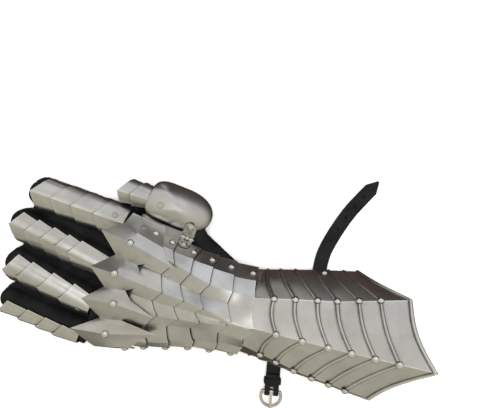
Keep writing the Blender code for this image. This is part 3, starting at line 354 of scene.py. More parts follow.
# Rivets: domed steel heads about 7 mm across, polished a little brighter than the sheet, and the smaller flat
# heads of the finger, knuckle and thumb plates, left duller. One node tree sets a head on each of its points.
bright = brushed_steel("polished rivet", (0.82, 0.81, 0.79), (0.72, 0.71, 0.69), 0.20, 0.08, 0.4)
dull = brushed_steel("dull rivet", (0.60, 0.59, 0.56), (0.46, 0.45, 0.43), 0.34, 0.10, 0.6)

# Radius, height, the share of the height where the top is flat, and metal of a head.
DOME_HEAD = (3.4, 2.5, 1.0, bright)
FLAT_HEAD = (2.9, 1.0, 0.6, dull)
HEAD_SUNK = -0.3


def rivet_tree():
    group = bpy.data.node_groups.new("rivet heads", "GeometryNodeTree")
    given = dict(Geometry="Geometry", Radius="Float", Height="Float", Crown="Float", Finish="Material")
    for name, kind in given.items():
        group.interface.new_socket(name, in_out="INPUT", socket_type="NodeSocket" + kind)
    group.interface.new_socket("Geometry", in_out="OUTPUT", socket_type="NodeSocketGeometry")
    tree = Wire(group)
    sockets = tree.node("NodeGroupInput").socket.node.outputs
    points, radius, height, crown, metal = (Wire(group, sockets[name]) for name in given)
    ball = tree.node("GeometryNodeMeshUVSphere", inputs={"Segments": 22, "Rings": 14, "Radius": 1.0})
    x, y, z = tree.node("GeometryNodeInputPosition").split()
    tall = tree.math("MINIMUM", tree.math("MAXIMUM", z, HEAD_SUNK), crown) * height
    size = tree.node("ShaderNodeCombineXYZ", inputs={0: x * radius, 1: y * radius, 2: tall})
    # Painted shade: the foot of each head is stored dark, a painted ring of shade where the head meets the
    # plate.
    shade_at_foot = tree.node("ShaderNodeMapRange", inputs={"Value": z, "From Min": 0.30, "From Max": 0.05})
    head = tree.node("GeometryNodeStoreNamedAttribute", {"data_type": "FLOAT"},
                     {"Geometry": ball, "Name": "grime", "Value": shade_at_foot})
    head = tree.node("GeometryNodeSetPosition", inputs={"Geometry": head, "Position": size})
    facing = tree.node("GeometryNodeInputNamedAttribute", {"data_type": "FLOAT_VECTOR"}, {"Name": "facing"})
    turn = tree.node("FunctionNodeAlignRotationToVector", {"axis": "Z"}, {"Vector": facing})
    copies = tree.node("GeometryNodeInstanceOnPoints",
                       inputs={"Points": points, "Instance": head, "Rotation": turn})
    real = tree.node("GeometryNodeRealizeInstances", inputs={"Geometry": copies})
    coat = tree.node("GeometryNodeSetMaterial", inputs={"Geometry": real, "Material": metal})
    group.links.new(coat.socket, group.nodes.new("NodeGroupOutput").inputs["Geometry"])
    return group


rivets_on_points = rivet_tree()


def from_tree(obj, tree, crease=60.0, **inputs):
    """Runs a node tree on an object with the inputs named, and keeps the result as a plain mesh."""
    modifier = obj.modifiers.new("tree", "NODES")
    modifier.node_group = tree
    for item in tree.interface.items_tree:
        if item.item_type == "SOCKET" and item.in_out == "INPUT" and item.name in inputs:
            modifier[item.identifier] = inputs[item.name]
    return settle(obj, crease)


def rivets(name, places, head=DOME_HEAD, body="gauntlet"):
    """Rivet heads at points on the plates, each with its outward direction, made into one piece."""
    radius, height, crown, metal = head
    obj = link(name, mesh_of(name, [place for place, facing in places], []))
    attribute = obj.data.attributes.new("facing", "FLOAT_VECTOR", "POINT")
    attribute.data.foreach_set("vector", [number for place, facing in places for number in facing])
    from_tree(obj, rivets_on_points, Radius=radius * MM, Height=height * MM, Crown=crown, Finish=metal)
    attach(obj, body)


def upward(direction):
    direction = direction.normalized()
    return direction if direction.z > 0 else -direction


def facet_rivet(first, second, part, share=0.5):
    """Place and outward direction on the facet between two straight lines, each given by its two ends."""
    (a_from, a_to), (b_from, b_to) = [(Vector(low), Vector(high)) for low, high in (first, second)]
    a, b = a_from.lerp(a_to, part), b_from.lerp(b_to, part)
    return a.lerp(b, share), upward((a_to - a_from).cross(b - a))


# Cuff: one sheet folded along three ridges, flared to the elbow, with raised flutes from rivet to rivet and a
# rolled edge. The rivets stand where the flutes cross the ridges, and one more holds the long strap.
CUFF_SHARES = (0.0, 0.08, 0.52, 1.0)
CUFF_LINES = {
    "thumb_edge": [(34, -1, 14), (44, 2, 13), (91, 19.5, 7), (136, 35, 0.4)],
    "thumb_ridge": [(33, -23.2, 50), (45, -21, 50.2), (115, 4.5, 53), (176, 31.5, 57)],
    "centre_ridge": [(42, -46.6, 59.6), (54, -45.3, 60.2), (117.5, -34, 72), (206, -15.5, 92)],
    "pinky_ridge": [(40, -69.2, 43.6), (52, -67.6, 44.4), (110, -69.5, 51), (174.5, -66, 57)],
    "pinky_edge": [(38, -85.5, 10), (50, -84, 9), (90, -83, 4.6), (139, -81.5, 0.4)],
}
CUFF_INSIDE = (100, -40, 20)
FLUTES = {
    "thumb_edge": (0.115, 0.23, 0.36, 0.525, 0.675, 0.835),
    "thumb_ridge": (0.175, 0.29, 0.41, 0.515, 0.655, 0.795),
    "centre_ridge": (0.205, 0.365, 0.52, 0.625, 0.73, 0.835),
    "pinky_ridge": (0.20, 0.32, 0.455, 0.585, 0.705, 0.82),
    "pinky_edge": (0.22, 0.34, 0.47, 0.60, 0.72, 0.83),
}
FLUTE_HALF_WIDTH = 1.7
FLUTE_HEIGHT = 1.3
FLUTE_SAG = 3.0
ROLL_WIDTH = 4.2
ROLL_HEIGHT = 1.6
SCALLOP_DEPTH = 5.5
WRIST_ROWS = (0.0, 0.04, 0.08)
# Rows across a flute and across the rolled edge: place, height, painted shade and wear.
# Painted shade darkens the hollows on either side of a flute and the crease where the roll starts.
FLUTE_ROWS = [(-2.2, 0.0, 0.0, 0.0), (-1.25, 0.0, 0.45, 0.0), (-1.0, 0.05, 0.9, 0.0), (-0.75, 0.5, 0.2, 0.0),
              (-0.4, 0.88, 0.0, 0.2), (0.0, 1.0, 0.0, 0.35), (0.4, 0.88, 0.0, 0.2), (0.75, 0.5, 0.1, 0.0),
              (1.0, 0.05, 0.5, 0.0), (1.25, 0.0, 0.2, 0.0), (2.2, 0.0, 0.0, 0.0)]
ROLL_ROWS = [(3.2, 0.0, 0.0, 0.0), (1.35, 0.0, 0.0, 0.0), (1.12, -0.08, 0.5, 0.0), (1.0, 0.0, 1.0, 0.0),
             (0.93, 0.4, 0.3, 0.1), (0.8, 0.8, 0.0, 0.4), (0.62, 1.0, 0.0, 0.7), (0.42, 1.0, 0.0, 0.6),
             (0.24, 0.8, 0.0, 0.5), (0.1, 0.4, 0.0, 0.6), (0.0, -0.3, 0.0, 0.8)]
FACET_SWELL = [(4.5, 1.0), (0.8, 0.8), (0.8, 0.8), (1.0, 0.8)]
SWELL_FROM = 0.25
FOLD_ROUND = 0.025
FACET_STEPS = 15
FACET_PARTS = [0.0, FOLD_ROUND, *[step / FACET_STEPS for step in range(1, FACET_STEPS)], 1.0 - FOLD_ROUND]
FOLD_WEAR = [0.0, 1.0, 0.55, 0.55]
STRAP_RIVET_SHARE = 0.60
STRAP_RIVET_ACROSS = 0.12
RIVET_SEAT = 0.9


def cuff_length(line):
    return (Vector(CUFF_LINES[line][-1]) - Vector(CUFF_LINES[line][0])).length


def point_between(points, share):
    index = 0
    while index < len(CUFF_SHARES) - 2 and share > CUFF_SHARES[index + 1]:
        index += 1
    part = (share - CUFF_SHARES[index]) / (CUFF_SHARES[index + 1] - CUFF_SHARES[index])
    return Vector(points[index]).lerp(Vector(points[index + 1]), part)


def facet_normal(facet, share):
    low, high = list(CUFF_LINES.values())[facet:facet + 2]
    a = point_between(low, share)
    b = point_between(high, share)
    behind, ahead = max(share - 0.05, 0.0), min(share + 0.05, 1.0)
    run = point_between(low, ahead) - point_between(low, behind)
    run += point_between(high, ahead) - point_between(high, behind)
    normal = (b - a).cross(run).normalized()
    return normal if normal.dot(a.lerp(b, 0.5) - Vector(CUFF_INSIDE)) > 0 else -normal


def cuff_point(facet, across, shares, sag=0.0):
    """Point of the cuff's face on a facet. Shares hold how far along each line the row is."""
    lines = list(CUFF_LINES)[facet:facet + 2]
    ends = []
    for line in lines:
        bent = shares[line] - sag / cuff_length(line) * math.sin(math.pi * across)
        ends.append(point_between(CUFF_LINES[line], bent))
    wrist, elbow = FACET_SWELL[facet]
    share = (shares[lines[0]] + shares[lines[1]]) / 2
    swell = (wrist + (elbow - wrist) * share) * min(share / SWELL_FROM, 1.0)
    return ends[0].lerp(ends[1], across) + facet_normal(facet, share) * (swell * math.sin(math.pi * across))


cuff_rows = [({line: share for line in CUFF_LINES}, 0.0, 0.0, 0.0, 0.0) for share in WRIST_ROWS]
for index in range(len(FLUTES["thumb_edge"])):
    if index > 0:
        shares = {line: (at[index - 1] + at[index]) / 2 for line, at in FLUTES.items()}
        cuff_rows.append((shares, 0.0, FLUTE_SAG, 0.0, 0.0))
    for offset, height, grime, wear in FLUTE_ROWS:
        out = offset * FLUTE_HALF_WIDTH
        shares = {line: at[index] + out / cuff_length(line) for line, at in FLUTES.items()}
        cuff_rows.append((shares, height * FLUTE_HEIGHT, FLUTE_SAG, grime, wear))
for part, height, grime, wear in ROLL_ROWS:
    shares = {line: 1.0 - ROLL_WIDTH * part / cuff_length(line) for line in CUFF_LINES}
    cuff_rows.append((shares, height * ROLL_HEIGHT, SCALLOP_DEPTH, grime, wear))
cuff_names = list(CUFF_LINES)
cuff_grid, grimes, wears = [], [], []
for shares, height, sag, grime, wear in cuff_rows:
    row = []
    for facet in range(4):
        for across in FACET_PARTS:
            normal = facet_normal(facet, shares[cuff_names[facet]])
            if across == 0.0 and facet > 0:
                normal = (normal + facet_normal(facet - 1, shares[cuff_names[facet]])).normalized()
            row.append(cuff_point(facet, across, shares, sag) + normal * height)
            wears.append(max(wear, FOLD_WEAR[facet] if across == 0.0 else 0.0))
    row.append(cuff_point(3, 1.0, shares, sag) + facet_normal(3, shares["pinky_edge"]) * height)
    wears.append(1.0)
    grimes += [grime] * len(row)
    cuff_grid.append(row)
cuff = sheet("cuff_sheet", cuff_grid)
paint(cuff.data, grime=grimes, wear=wears)
thicken(cuff)
break_edges(cuff, 0.25)
finish(settle(cuff, 22.0), ["cuff"])
places = []
for ridge in (1, 2, 3):
    for share in FLUTES[cuff_names[ridge]]:
        normal = (facet_normal(ridge - 1, share) + facet_normal(ridge, share)).normalized()
        places.append((point_between(CUFF_LINES[cuff_names[ridge]], share) + normal * RIVET_SEAT, normal))
shares = {line: STRAP_RIVET_SHARE for line in CUFF_LINES}
places.append((cuff_point(0, STRAP_RIVET_ACROSS, shares), facet_normal(0, STRAP_RIVET_SHARE)))
rivets("cuff_rivets", places)


# Lames: five plates across the back of the hand, from the wrist under the knuckle plate. Each is folded along
# four ridges, ends in a row of points over the next, and is held by a domed rivet at each side.
HAND_LINES = {
    "thumb_edge": [(-78, 3, 27.5), (-25, -2, 25), (7, -1.5, 24), (40, 1.5, 22)],
    "thumb_bend": [(-78, -9, 42), (-37, -11.5, 43), (20, -11.5, 42), (40, -9, 41)],
    "ridge_1": [(-78, -17, 46), (-37, -20, 50), (0, -25, 52), (22, -24, 51.5), (43, -22, 50)],
    "valley_12": [(-78, -34, 44), (-45, -34, 47.5), (-6, -37.5, 50), (21, -35.5, 53), (43, -31, 55.5)],
    "ridge_2": [(-78, -47, 51), (-37, -47, 57), (3, -46, 60), (30, -47, 61), (52, -45.5, 60)],
    "valley_23": [(-78, -61, 48), (-42, -58, 53), (-4, -52.5, 58), (31, -48.7, 60.8), (52, -46.9, 59.9)],
    "ridge_3": [(-78, -75, 51), (-34, -68, 56), (4, -58, 60), (31, -50.4, 61), (52, -48.3, 60)],
    "valley_34": [(-78, -92, 42), (-42, -85, 46), (-23, -75.5, 49), (-2, -67.5, 52), (25, -61, 54.5),
                  (48, -58, 55)],
    "ridge_4": [(-78, -107, 38), (-34, -98, 42), (6, -80, 43), (27, -73.5, 44.5), (50, -67, 45.5)],
    "pinky_bend": [(-78, -114, 33), (-39, -104.5, 37), (5, -88, 38), (29, -81, 39), (50, -76, 40)],
    "pinky_edge": [(-78, -121, 15), (-38, -112, 15), (2, -96.5, 14), (50, -84.5, 12)],
}
LINE_ORDER = list(HAND_LINES)
LAME_KEYS = ("thumb_edge", "ridge_1", "ridge_2", "ridge_3", "ridge_4", "pinky_edge", "notch")
LAMES = [dict(zip(LAME_KEYS, rears)) for rears in (
    (-43.5, -37, -37, -34, -34, -33, 8.0),
    (-20, -20, -16, -15, -15, -13, 7.5),
    (-1, 0, 3, 4, 6, 7, 7.0),
    (17, 22, 30, 28, 27, 27, 4.5),
    (38, 43, 52, 51, 50, 47, 4.0),
)]
FIRST_LAME_FRONT = -72.0
LAME_OVERLAP = 8.0
PLATE_LIFT = 2.3
LAME_STEPS = 8
LIP = 0.7
ROWS_AT_OVERLAP = (-2.0, -0.3, 0.7, 1.6)
LAME_PARTS = (0.12, 0.3, 0.5, 0.7, 0.88)
OGEE_POWER = 0.8
RIVET_FROM_EDGE = 4.0
LAME_RIVETS = ((0, LAME_STEPS, 0.5), (-1, -1 - LAME_STEPS, 0.42))


def lame_rear(index, line):
    lame = LAMES[index]
    if line in lame:
        return lame[line]
    if line == "thumb_bend":
        return (lame["thumb_edge"] + lame["ridge_1"]) / 2 - lame["notch"] / 3
    if line == "pinky_bend":
        return (lame["pinky_edge"] + lame["ridge_4"]) / 2
    return (lame["ridge_" + line[-2]] + lame["ridge_" + line[-1]]) / 2 - lame["notch"]


def lame_front(index, line):
    return FIRST_LAME_FRONT if index == 0 else lame_rear(index - 1, line) - LAME_OVERLAP


def ogee(a, b, share, a_is_point, b_is_point):
    """Between two ends of an edge: it leaves a point steeply and comes round into a hollow."""
    if a_is_point == b_is_point:
        return a + (b - a) * share
    if a_is_point:
        return a + (b - a) * share**OGEE_POWER
    return b + (a - b) * (1 - share)**OGEE_POWER


def lame_grid(index):
    """Grid of a lame and the painted shade and wear of its rows. Its rows lie close where the lame before it
    ends.
    """
    near = [0.0] + [LAME_OVERLAP + step for step in ROWS_AT_OVERLAP]
    # Shade is painted on the front rows, which lie under and just beyond the rear edge of the lame before.
    marks = [(1.0, 0.0), (1.0, 0.0), (1.0, 0.0), (0.75, 0.0), (0.12, 0.0)] + [(0.0, 0.0)] * len(LAME_PARTS)
    marks += [(0.0, 0.0), (0.0, 1.0)]
    grid = []
    for row in range(len(marks)):
        places, shares = [], []
        for number, line in enumerate(LINE_ORDER):
            steps = LAME_STEPS if number < len(LINE_ORDER) - 1 else 1
            nxt = LINE_ORDER[min(number + 1, len(LINE_ORDER) - 1)]
            for step in range(steps):
                share = step / LAME_STEPS
                here, there = line.startswith("ridge"), nxt.startswith("ridge")
                rear = ogee(lame_rear(index, line), lame_rear(index, nxt), share, here, there)
                front = ogee(lame_front(index, line), lame_front(index, nxt), share, here, there)
                long = rear - front
                if row < len(near):
                    at = front + near[row]
                elif row < len(near) + len(LAME_PARTS):
                    at = front + near[-1] + (long - near[-1]) * LAME_PARTS[row - len(near)]
                else:
                    at = rear - (LIP if row == len(marks) - 2 else 0.0)
                places.append(along(HAND_LINES[line], at).lerp(along(HAND_LINES[nxt], at), share))
                shares.append((at - front) / long)
        rows = zip(places, column_normals(places), shares)
        grid.append([place + normal * (PLATE_LIFT * part) for place, normal, part in rows])
    return grid, marks


places = []
for index in range(len(LAMES)):
    grid, marks = lame_grid(index)
    title = "lame_%d" % (index + 1)
    finish(plate(title + "_plate", grid, marks), [title])
    for low, high, share in LAME_RIVETS:
        lines = [(grid[-5][column], grid[-1][column]) for column in (low, high)]
        part = 1.0 - RIVET_FROM_EDGE / (lines[0][1] - lines[0][0]).length
        places.append(facet_rivet(*lines, part, share))
rivets("lame_rivets", places)


# Knuckle plate: one sheet with a pointed boss over each knuckle that runs back into a long spike, and a
# flange down each side. A domed rivet stands on each boss.
KNUCKLE = [
    ("thumb_edge", (-94, 7, 28), (-77, 6.5, 28.5), (-60, 6, 28.5)),
    ("thumb_bend", (-96, -3.5, 37), (-80, -7, 45), (-52, -10.5, 48.5)),
    ("ray_1", (-112, -17, 45), (-81, -17, 52), (-33, -23, 57)),
    ("valley_12", (-92, -34, 41), (-80, -34, 47), (-68, -34, 49)),
    ("ray_2", (-108, -51, 49), (-83, -47, 57.5), (-38, -46, 63)),
    ("valley_23", (-90, -65, 44), (-80, -62, 50), (-69, -59, 53)),
    ("ray_3", (-105, -82, 48), (-74, -73, 57), (-36, -70, 62)),
    ("valley_34", (-84, -95, 39), (-73, -91, 45), (-63, -87, 48)),
    ("ray_4", (-106, -114, 41), (-72, -104, 49), (-28, -86, 54)),
    ("pinky_bend", (-81, -126, 29), (-68, -119, 36), (-46, -110, 41)),
    ("pinky_edge", (-77, -129, 16), (-62, -124.5, 16), (-45, -118, 16)),
]
SPIKE_WAIST = 0.25
KNUCKLE_STEPS = 8
KNUCKLE_ROWS = (0.0, 0.03, 0.2, 0.38, 0.56, 0.76, 1.0)
KNUCKLE_SIDE_RIVET = 0.62
KNUCKLE_FLAT_RIVET = 0.06


def knuckle_column(points, share):
    """Point of a line through the front, the rivet and the rear, 0 to 1 to 2."""
    front, middle, rear = (Vector(p) for p in points)
    return front.lerp(middle, share) if share <= 1.0 else middle.lerp(rear, share - 1.0)


def knuckle_between(a, b, share, part):
    """Point between two lines. Past the rivets the spike's outline is narrow, as a fold would leave it."""
    place = knuckle_column(a[1:], part).lerp(knuckle_column(b[1:], part), share)
    if part > 1.0:
        point, side = (a, b) if a[0].startswith("ray") else (b, a)
        away = share if point is a else 1.0 - share
        if point[0].startswith("ray"):
            waist = SPIKE_WAIST * (1 - away) * 2 if away > 0.5 else 1 - away * 2 * (1 - SPIKE_WAIST)
            straight = 1.0 - away
            place.x += (waist - straight) * (point[3][0] - side[3][0]) * (part - 1.0)
    return place


knuckle_grid = []
knuckle_parts = list(KNUCKLE_ROWS[:-1]) + [2.0 - part for part in reversed(KNUCKLE_ROWS)]
for part in knuckle_parts:
    row = []
    for number in range(len(KNUCKLE) - 1):
        for step in range(KNUCKLE_STEPS):
            row.append(knuckle_between(KNUCKLE[number], KNUCKLE[number + 1], step / KNUCKLE_STEPS, part))
    row.append(knuckle_column(KNUCKLE[-1][1:], part))
    knuckle_grid.append(row)
marks = [(0.0, 1.0 if part in (0.0, 2.0) else 0.0) for part in knuckle_parts]
finish(plate("knuckle_sheet", knuckle_grid, marks, 0.3, 12.0), ["knuckle_plate"])
places = [(Vector(line[2]), Vector((0, 0, 1))) for line in KNUCKLE if line[0].startswith("ray")]
for edge, bend in ((0, 1), (-1, -2)):
    places.append(facet_rivet(KNUCKLE[edge][2:], KNUCKLE[bend][2:], KNUCKLE_SIDE_RIVET))
rivets("knuckle_rivets", places)
rivets("knuckle_flat_rivet", [facet_rivet(KNUCKLE[0][2:], KNUCKLE[1][2:], KNUCKLE_FLAT_RIVET)], FLAT_HEAD)


# Finger plates: overlapping scales over each glove finger, the one nearer the knuckle on top. Each has a fold
# along its back and an ogee front edge that comes to a point, and is riveted to the leather under it.
FINGERS = {
    "index": dict(root=(-97, -6), tip=(-202, -11), root_half=13.5, tip_half=13.0, lean=0),
    "middle": dict(root=(-97, -50.5), tip=(-208, -44), root_half=13.5, tip_half=14.0, lean=-8),
    "ring": dict(root=(-97, -90), tip=(-198, -82), root_half=13.5, tip_half=14.0, lean=-24),
    "pinky": dict(root=(-97, -119.5), tip=(-189, -118.5), root_half=11.0, tip_half=10.5, lean=-42),
}
FINGER_ROOT_Z = 15.5
FINGER_TIP_Z = 11.0
FINGER_ROOT_RISE = 12.0
FINGER_TIP_RISE = 10.8
SCALE_POINTS = {
    "index": [-195, -173, -152, -129],
    "middle": [-202, -185, -168, -152, -138],
    "ring": [-192, -176, -153, -130],
    "pinky": [-183, -161, -142, -124],
}
LAST_SCALE_REAR = -98.5
SCALE_OVERLAP = 5.0
SCALE_REACH = 95.0
SCALE_SPANS = {"index": (-5, 152), "middle": (52, 172), "ring": (58, 172), "pinky": (88, 227)}
SCALE_SETBACK = 13.0
SETBACK_POWER = 0.7
SCALE_COLUMNS = 16
ROWS_AT_NEXT = (-1.8, -0.5, 1.0)
SCALE_SLACK = 0.6
SCALE_SPREAD = 0.16
SCALE_EDGE = 0.22
RIDGE_RISE = 2.3
RIDGE_REACH = 30.0
FLAT_RIVET_ROW = 5
FLAT_RIVET_COLUMNS = {"index": -3, "ring": 4}
GAP = 0.3


def finger_ends(name):
    """Root and tip of a glove finger, and half its width and height at each."""
    finger = FINGERS[name]
    return (Vector((*finger["root"], FINGER_ROOT_Z)), Vector((*finger["tip"], FINGER_TIP_Z)),
            (finger["root_half"], FINGER_ROOT_RISE), (finger["tip_half"], FINGER_TIP_RISE))


def section_of(root, tip, root_half, tip_half):
    """Function of x that gives the centre, half width and half height of a glove finger or thumb."""

    def section(x):
        share = (x - root.x) / (tip.x - root.x)
        half, rise = (at_root + (at_tip - at_root) * share for at_root, at_tip in zip(root_half, tip_half))
        return root.lerp(tip, share), half, rise

    return section


def scale_limits(name):
    """How far round a finger its plates reach from their ridge, to the thumb side and to the other."""
    ridge = 90 - FINGERS[name]["lean"]
    return ridge - SCALE_SPANS[name][0], SCALE_SPANS[name][1] - ridge


def scale_grid(section, point, rear_point, low, high, setback, lean, last_rear):
    """Grid of one finger plate, with the marks of its rows. Its front is lifted over the plate before it."""
    angles = []
    for step in range(-SCALE_COLUMNS, SCALE_COLUMNS + 1):
        angles.append(step / SCALE_COLUMNS * (low if step < 0 else high))
    # The rows by and under the next plate's front edge get painted shade; the front row is worn.
    marks = [(0.0, 1.0), (0.0, 0.1)] + [(0.0, 0.0)] * 4 + [(0.1, 0.0), (0.85, 0.0), (1.0, 0.0), (1.0, 0.0)]
    grid = []
    for row in range(len(marks)):
        line = []
        for angle in angles:
            back = setback * (abs(angle) / SCALE_REACH)**SETBACK_POWER
            front = point + back
            rear = last_rear if rear_point is None else rear_point + back + SCALE_OVERLAP
            shown = rear - front - SCALE_OVERLAP
            plain = shown + ROWS_AT_NEXT[0] - LIP
            steps = [0.0, LIP] + [LIP + plain * part for part in (0.2, 0.4, 0.6, 0.8)]
            steps += [shown + step for step in ROWS_AT_NEXT] + [shown + SCALE_OVERLAP]
            share = steps[row] / (rear - front)
            x = front + steps[row]
            centre, half, rise = section(x)
            offset = GAP + STEEL + SCALE_SLACK + PLATE_LIFT * (1 - share)
            offset += RIDGE_RISE * max(1.0 - abs(angle) / RIDGE_REACH, 0.0)
            turn = math.radians(90 - lean + angle * (1.0 + SCALE_SPREAD * (0.5 - share)))
            out = Vector((0, math.cos(turn) * (half + offset), math.sin(turn) * (rise + offset)))
            line.append(centre + out)
        grid.append(line)
    if rear_point is None:
        marks[6:] = [(0.0, 0.0)] * 4
    return grid, marks


def scales(name, ends, points, limits, setback, lean, last_rear=LAST_SCALE_REAR, body="gauntlet"):
    """Overlapping plates over a finger or the thumb. Gives the grid of the one nearest the hand."""
    for index, (point, rear_point) in enumerate(zip(points, [*points[1:], None])):
        grid, marks = scale_grid(section_of(*ends), point, rear_point, *limits, setback, lean, last_rear)
        title = "%s_scale_%d" % (name, index + 1)
        finish(plate(title + "_plate", grid, marks, SCALE_EDGE), [title], body)
    return grid


places = []
for name, points in SCALE_POINTS.items():
    grid = scales(name, finger_ends(name), points, scale_limits(name), SCALE_SETBACK, FINGERS[name]["lean"])
    if name in FLAT_RIVET_COLUMNS:
        column = SCALE_COLUMNS + FLAT_RIVET_COLUMNS[name]
        a, b = grid[FLAT_RIVET_ROW][column:column + 2]
        places.append((a, upward((b - a).cross(grid[FLAT_RIVET_ROW + 1][column] - a))))
rivets("finger_flat_rivets", places, FLAT_HEAD)


# Thumb guard: two scales over the end of the thumb and an egg-shaped domed plate over its joint. A small
# butt hinge with round-ended leaves carries the plate on the second lame, so that it lifts like a lid.
THUMB_ENDS = (Vector((-50, 26.5, 13)), Vector((-115, 21.5, 12)), (12.3, 12.0), (10.5, 10.5))
THUMB_POINTS = [-117, -104]
THUMB_SCALE_REAR = -82.0
THUMB_SCALE_SPAN = (84.0, 42.0)
THUMB_SCALE_SETBACK = 9.0
PLATE_CENTRE = (-54, 27.5)
PLATE_REACH = 32.0
PLATE_HALF_WIDTH = 20.5
PLATE_RIM_Z = 18.8
PLATE_RISE = 15.5
PLATE_TILT = 0.2
PLATE_BROW = 11.0
PLATE_POWER = 2.2
PLATE_FRONT_POWER = 5.0
PLATE_FULLNESS = 0.8
PLATE_RIVET = (-71.5, 24.0)
THUMB_FLAT_HEAD = (3.2, *FLAT_HEAD[1:])
PLATE_RINGS = 14
PLATE_SIDES = 72
LEAF_EDGE = 0.22
PIN_EDGE = 0.15

scales("thumb", THUMB_ENDS, THUMB_POINTS, THUMB_SCALE_SPAN, THUMB_SCALE_SETBACK, 0, THUMB_SCALE_REAR,
       "thumb_guard")


def squarish(angle, power):
    """Point of a circle of radius 1, pushed out towards a square where power is over 2."""
    return [math.copysign(abs(part)**(2 / power), part) for part in (math.cos(angle), math.sin(angle))]


def plate_at(x, y):
    """Point of the thumb plate's outer face above x and y."""
    power = PLATE_POWER if x > PLATE_CENTRE[0] else PLATE_FRONT_POWER
    across = abs(x - PLATE_CENTRE[0]) / PLATE_REACH
    beside = abs(y - PLATE_CENTRE[1]) / PLATE_HALF_WIDTH
    share = min((across**power + beside**power)**(1 / power), 1.0)
    rise = PLATE_RISE * math.cos(share * math.pi / 2)**PLATE_FULLNESS
    ahead = max((PLATE_CENTRE[0] - x) / PLATE_REACH, 0.0)
    brow = PLATE_BROW * ahead**2 * max(1.0 - beside**2, 0.0)
    return Vector((x, y, PLATE_RIM_Z + rise + brow + (PLATE_CENTRE[1] - y) * PLATE_TILT))


points = [plate_at(*PLATE_CENTRE)]
faces = []
for ring in range(1, PLATE_RINGS + 1):
    share = math.sin(math.pi / 2 * ring / PLATE_RINGS)
    for side in range(PLATE_SIDES):
        angle = 2 * math.pi * side / PLATE_SIDES
        c, s = squarish(angle, PLATE_POWER if math.cos(angle) > 0 else PLATE_FRONT_POWER)
        points.append(plate_at(PLATE_CENTRE[0] + PLATE_REACH * share * c,
                               PLATE_CENTRE[1] + PLATE_HALF_WIDTH * share * s))
for side in range(PLATE_SIDES):
    nxt = (side + 1) % PLATE_SIDES
    faces.append((0, 1 + side, 1 + nxt))
    for ring in range(PLATE_RINGS - 1):
        a, b = 1 + ring * PLATE_SIDES + side, 1 + ring * PLATE_SIDES + nxt
        faces.append((a, a + PLATE_SIDES, b + PLATE_SIDES, b))
dome = link("thumb_dome", mesh_of("thumb_dome", points, faces))
inner = PLATE_SIDES * (PLATE_RINGS - 1) + 1
paint(dome.data, wear=[0.0] * inner + [1.0] * PLATE_SIDES)
thicken(dome)
break_edges(dome, 0.3)
finish(settle(dome, 40.0), ["thumb_plate"], "thumb_guard")
here = plate_at(*PLATE_RIVET)
across = plate_at(PLATE_RIVET[0] + 0.2, PLATE_RIVET[1]) - here
beside = plate_at(PLATE_RIVET[0], PLATE_RIVET[1] + 0.2) - here
rivets("thumb_flat_rivet", [(here, upward(across.cross(beside)))], THUMB_FLAT_HEAD, "thumb_guard")


def dressed(node, edge, crease=35.0, **kind):
    """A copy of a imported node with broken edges, which stands for it."""
    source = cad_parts[node]
    mesh = source.data.copy()
    mesh.transform(source.matrix_world)
    obj = link(node + "_dressed", mesh)
    weld = obj.modifiers.new("weld", "WELD")
    weld.merge_threshold = 0.02 * MM
    flat = obj.modifiers.new("flat", "DECIMATE")
    flat.decimate_type = "DISSOLVE"
    flat.angle_limit = math.radians(0.5)
    break_edges(obj, edge, crease)
    finish(settle(obj, crease), [node], **kind)


dressed("hinge_leaf_hand", LEAF_EDGE)
dressed("hinge_leaf_thumb", LEAF_EDGE, body="thumb_guard")
dressed("hinge_pin", PIN_EDGE)


# Glove: black leather, five fingers and a long hand that ends in a plain hem inside the cuff. It is lofted in
# pieces, joined as one skin, opened at the hem and given its thickness.
GLOVE_SECTIONS = [(-97, 9.3, -132, 31), (-80, 4, -116.5, 33), (-45, -2, -107.5, 40), (0, -6, -89.5, 43),
                  (45, -11, -73, 40), (100, -5, -70, 44)]
GLOVE_POWER = 2.5
GLOVE_SUNK = 1.6
GLOVE_FLOOR = 0.15
HAND_STEPS = 6
SWELL_ANGLE = 30.0
FINGER_ROOM = 0.8
OUTER_SWELL = 7.0
THUMB_WEB = (10.0, 5.0)
THUMB_BASE = [THUMB_ENDS[0], (-40, 18.5, 12.2), (-27, 4.5, 12), (0, -7, 13), (28, -15, 13.5)]
THUMB_BASE_HALF = [THUMB_ENDS[2], (11.4, 9.3), (11.0, 8.8), (12.0, 10.2), (10.0, 10.0)]
LEATHER = 1.8
SKIN_SIDES = 48
SKIN_VOXEL = 1.7
SKIN_SMOOTHINGS = 4
HEM_TRIM = 1.2
CREASE_LOSS = 0.35
CREASE_FLOOR = 0.6


def black_leather(name, grain=1.0, shine=0.60):
    material, shader, tree = new_material(name, Specular_IOR_Level=0.16)
    pebble = ground(tree, 900.0, 0.0, kind="ShaderNodeTexVoronoi")
    fold = ground(tree, 60.0, 4.0)
    pore = ground(tree, 2600.0, 2.0)
    tone = (fold * 0.7 + pore * 0.3).between(0.3, 0.7).mix((0.0035, 0.0035, 0.004), (0.010, 0.011, 0.011))
    rough = fold * 0.16 + pebble * 0.10 + (shine - 0.1)
    height = pebble * 0.7 * grain + pore * 0.3 * grain + fold * 1.2
    bump = tree.node("ShaderNodeBump", inputs={"Strength": 0.5, "Distance": 0.00012, "Height": height})
    feed(shader, Base_Color=tone, Roughness=rough, Normal=bump)
    return material


glove_leather = black_leather("glove leather")


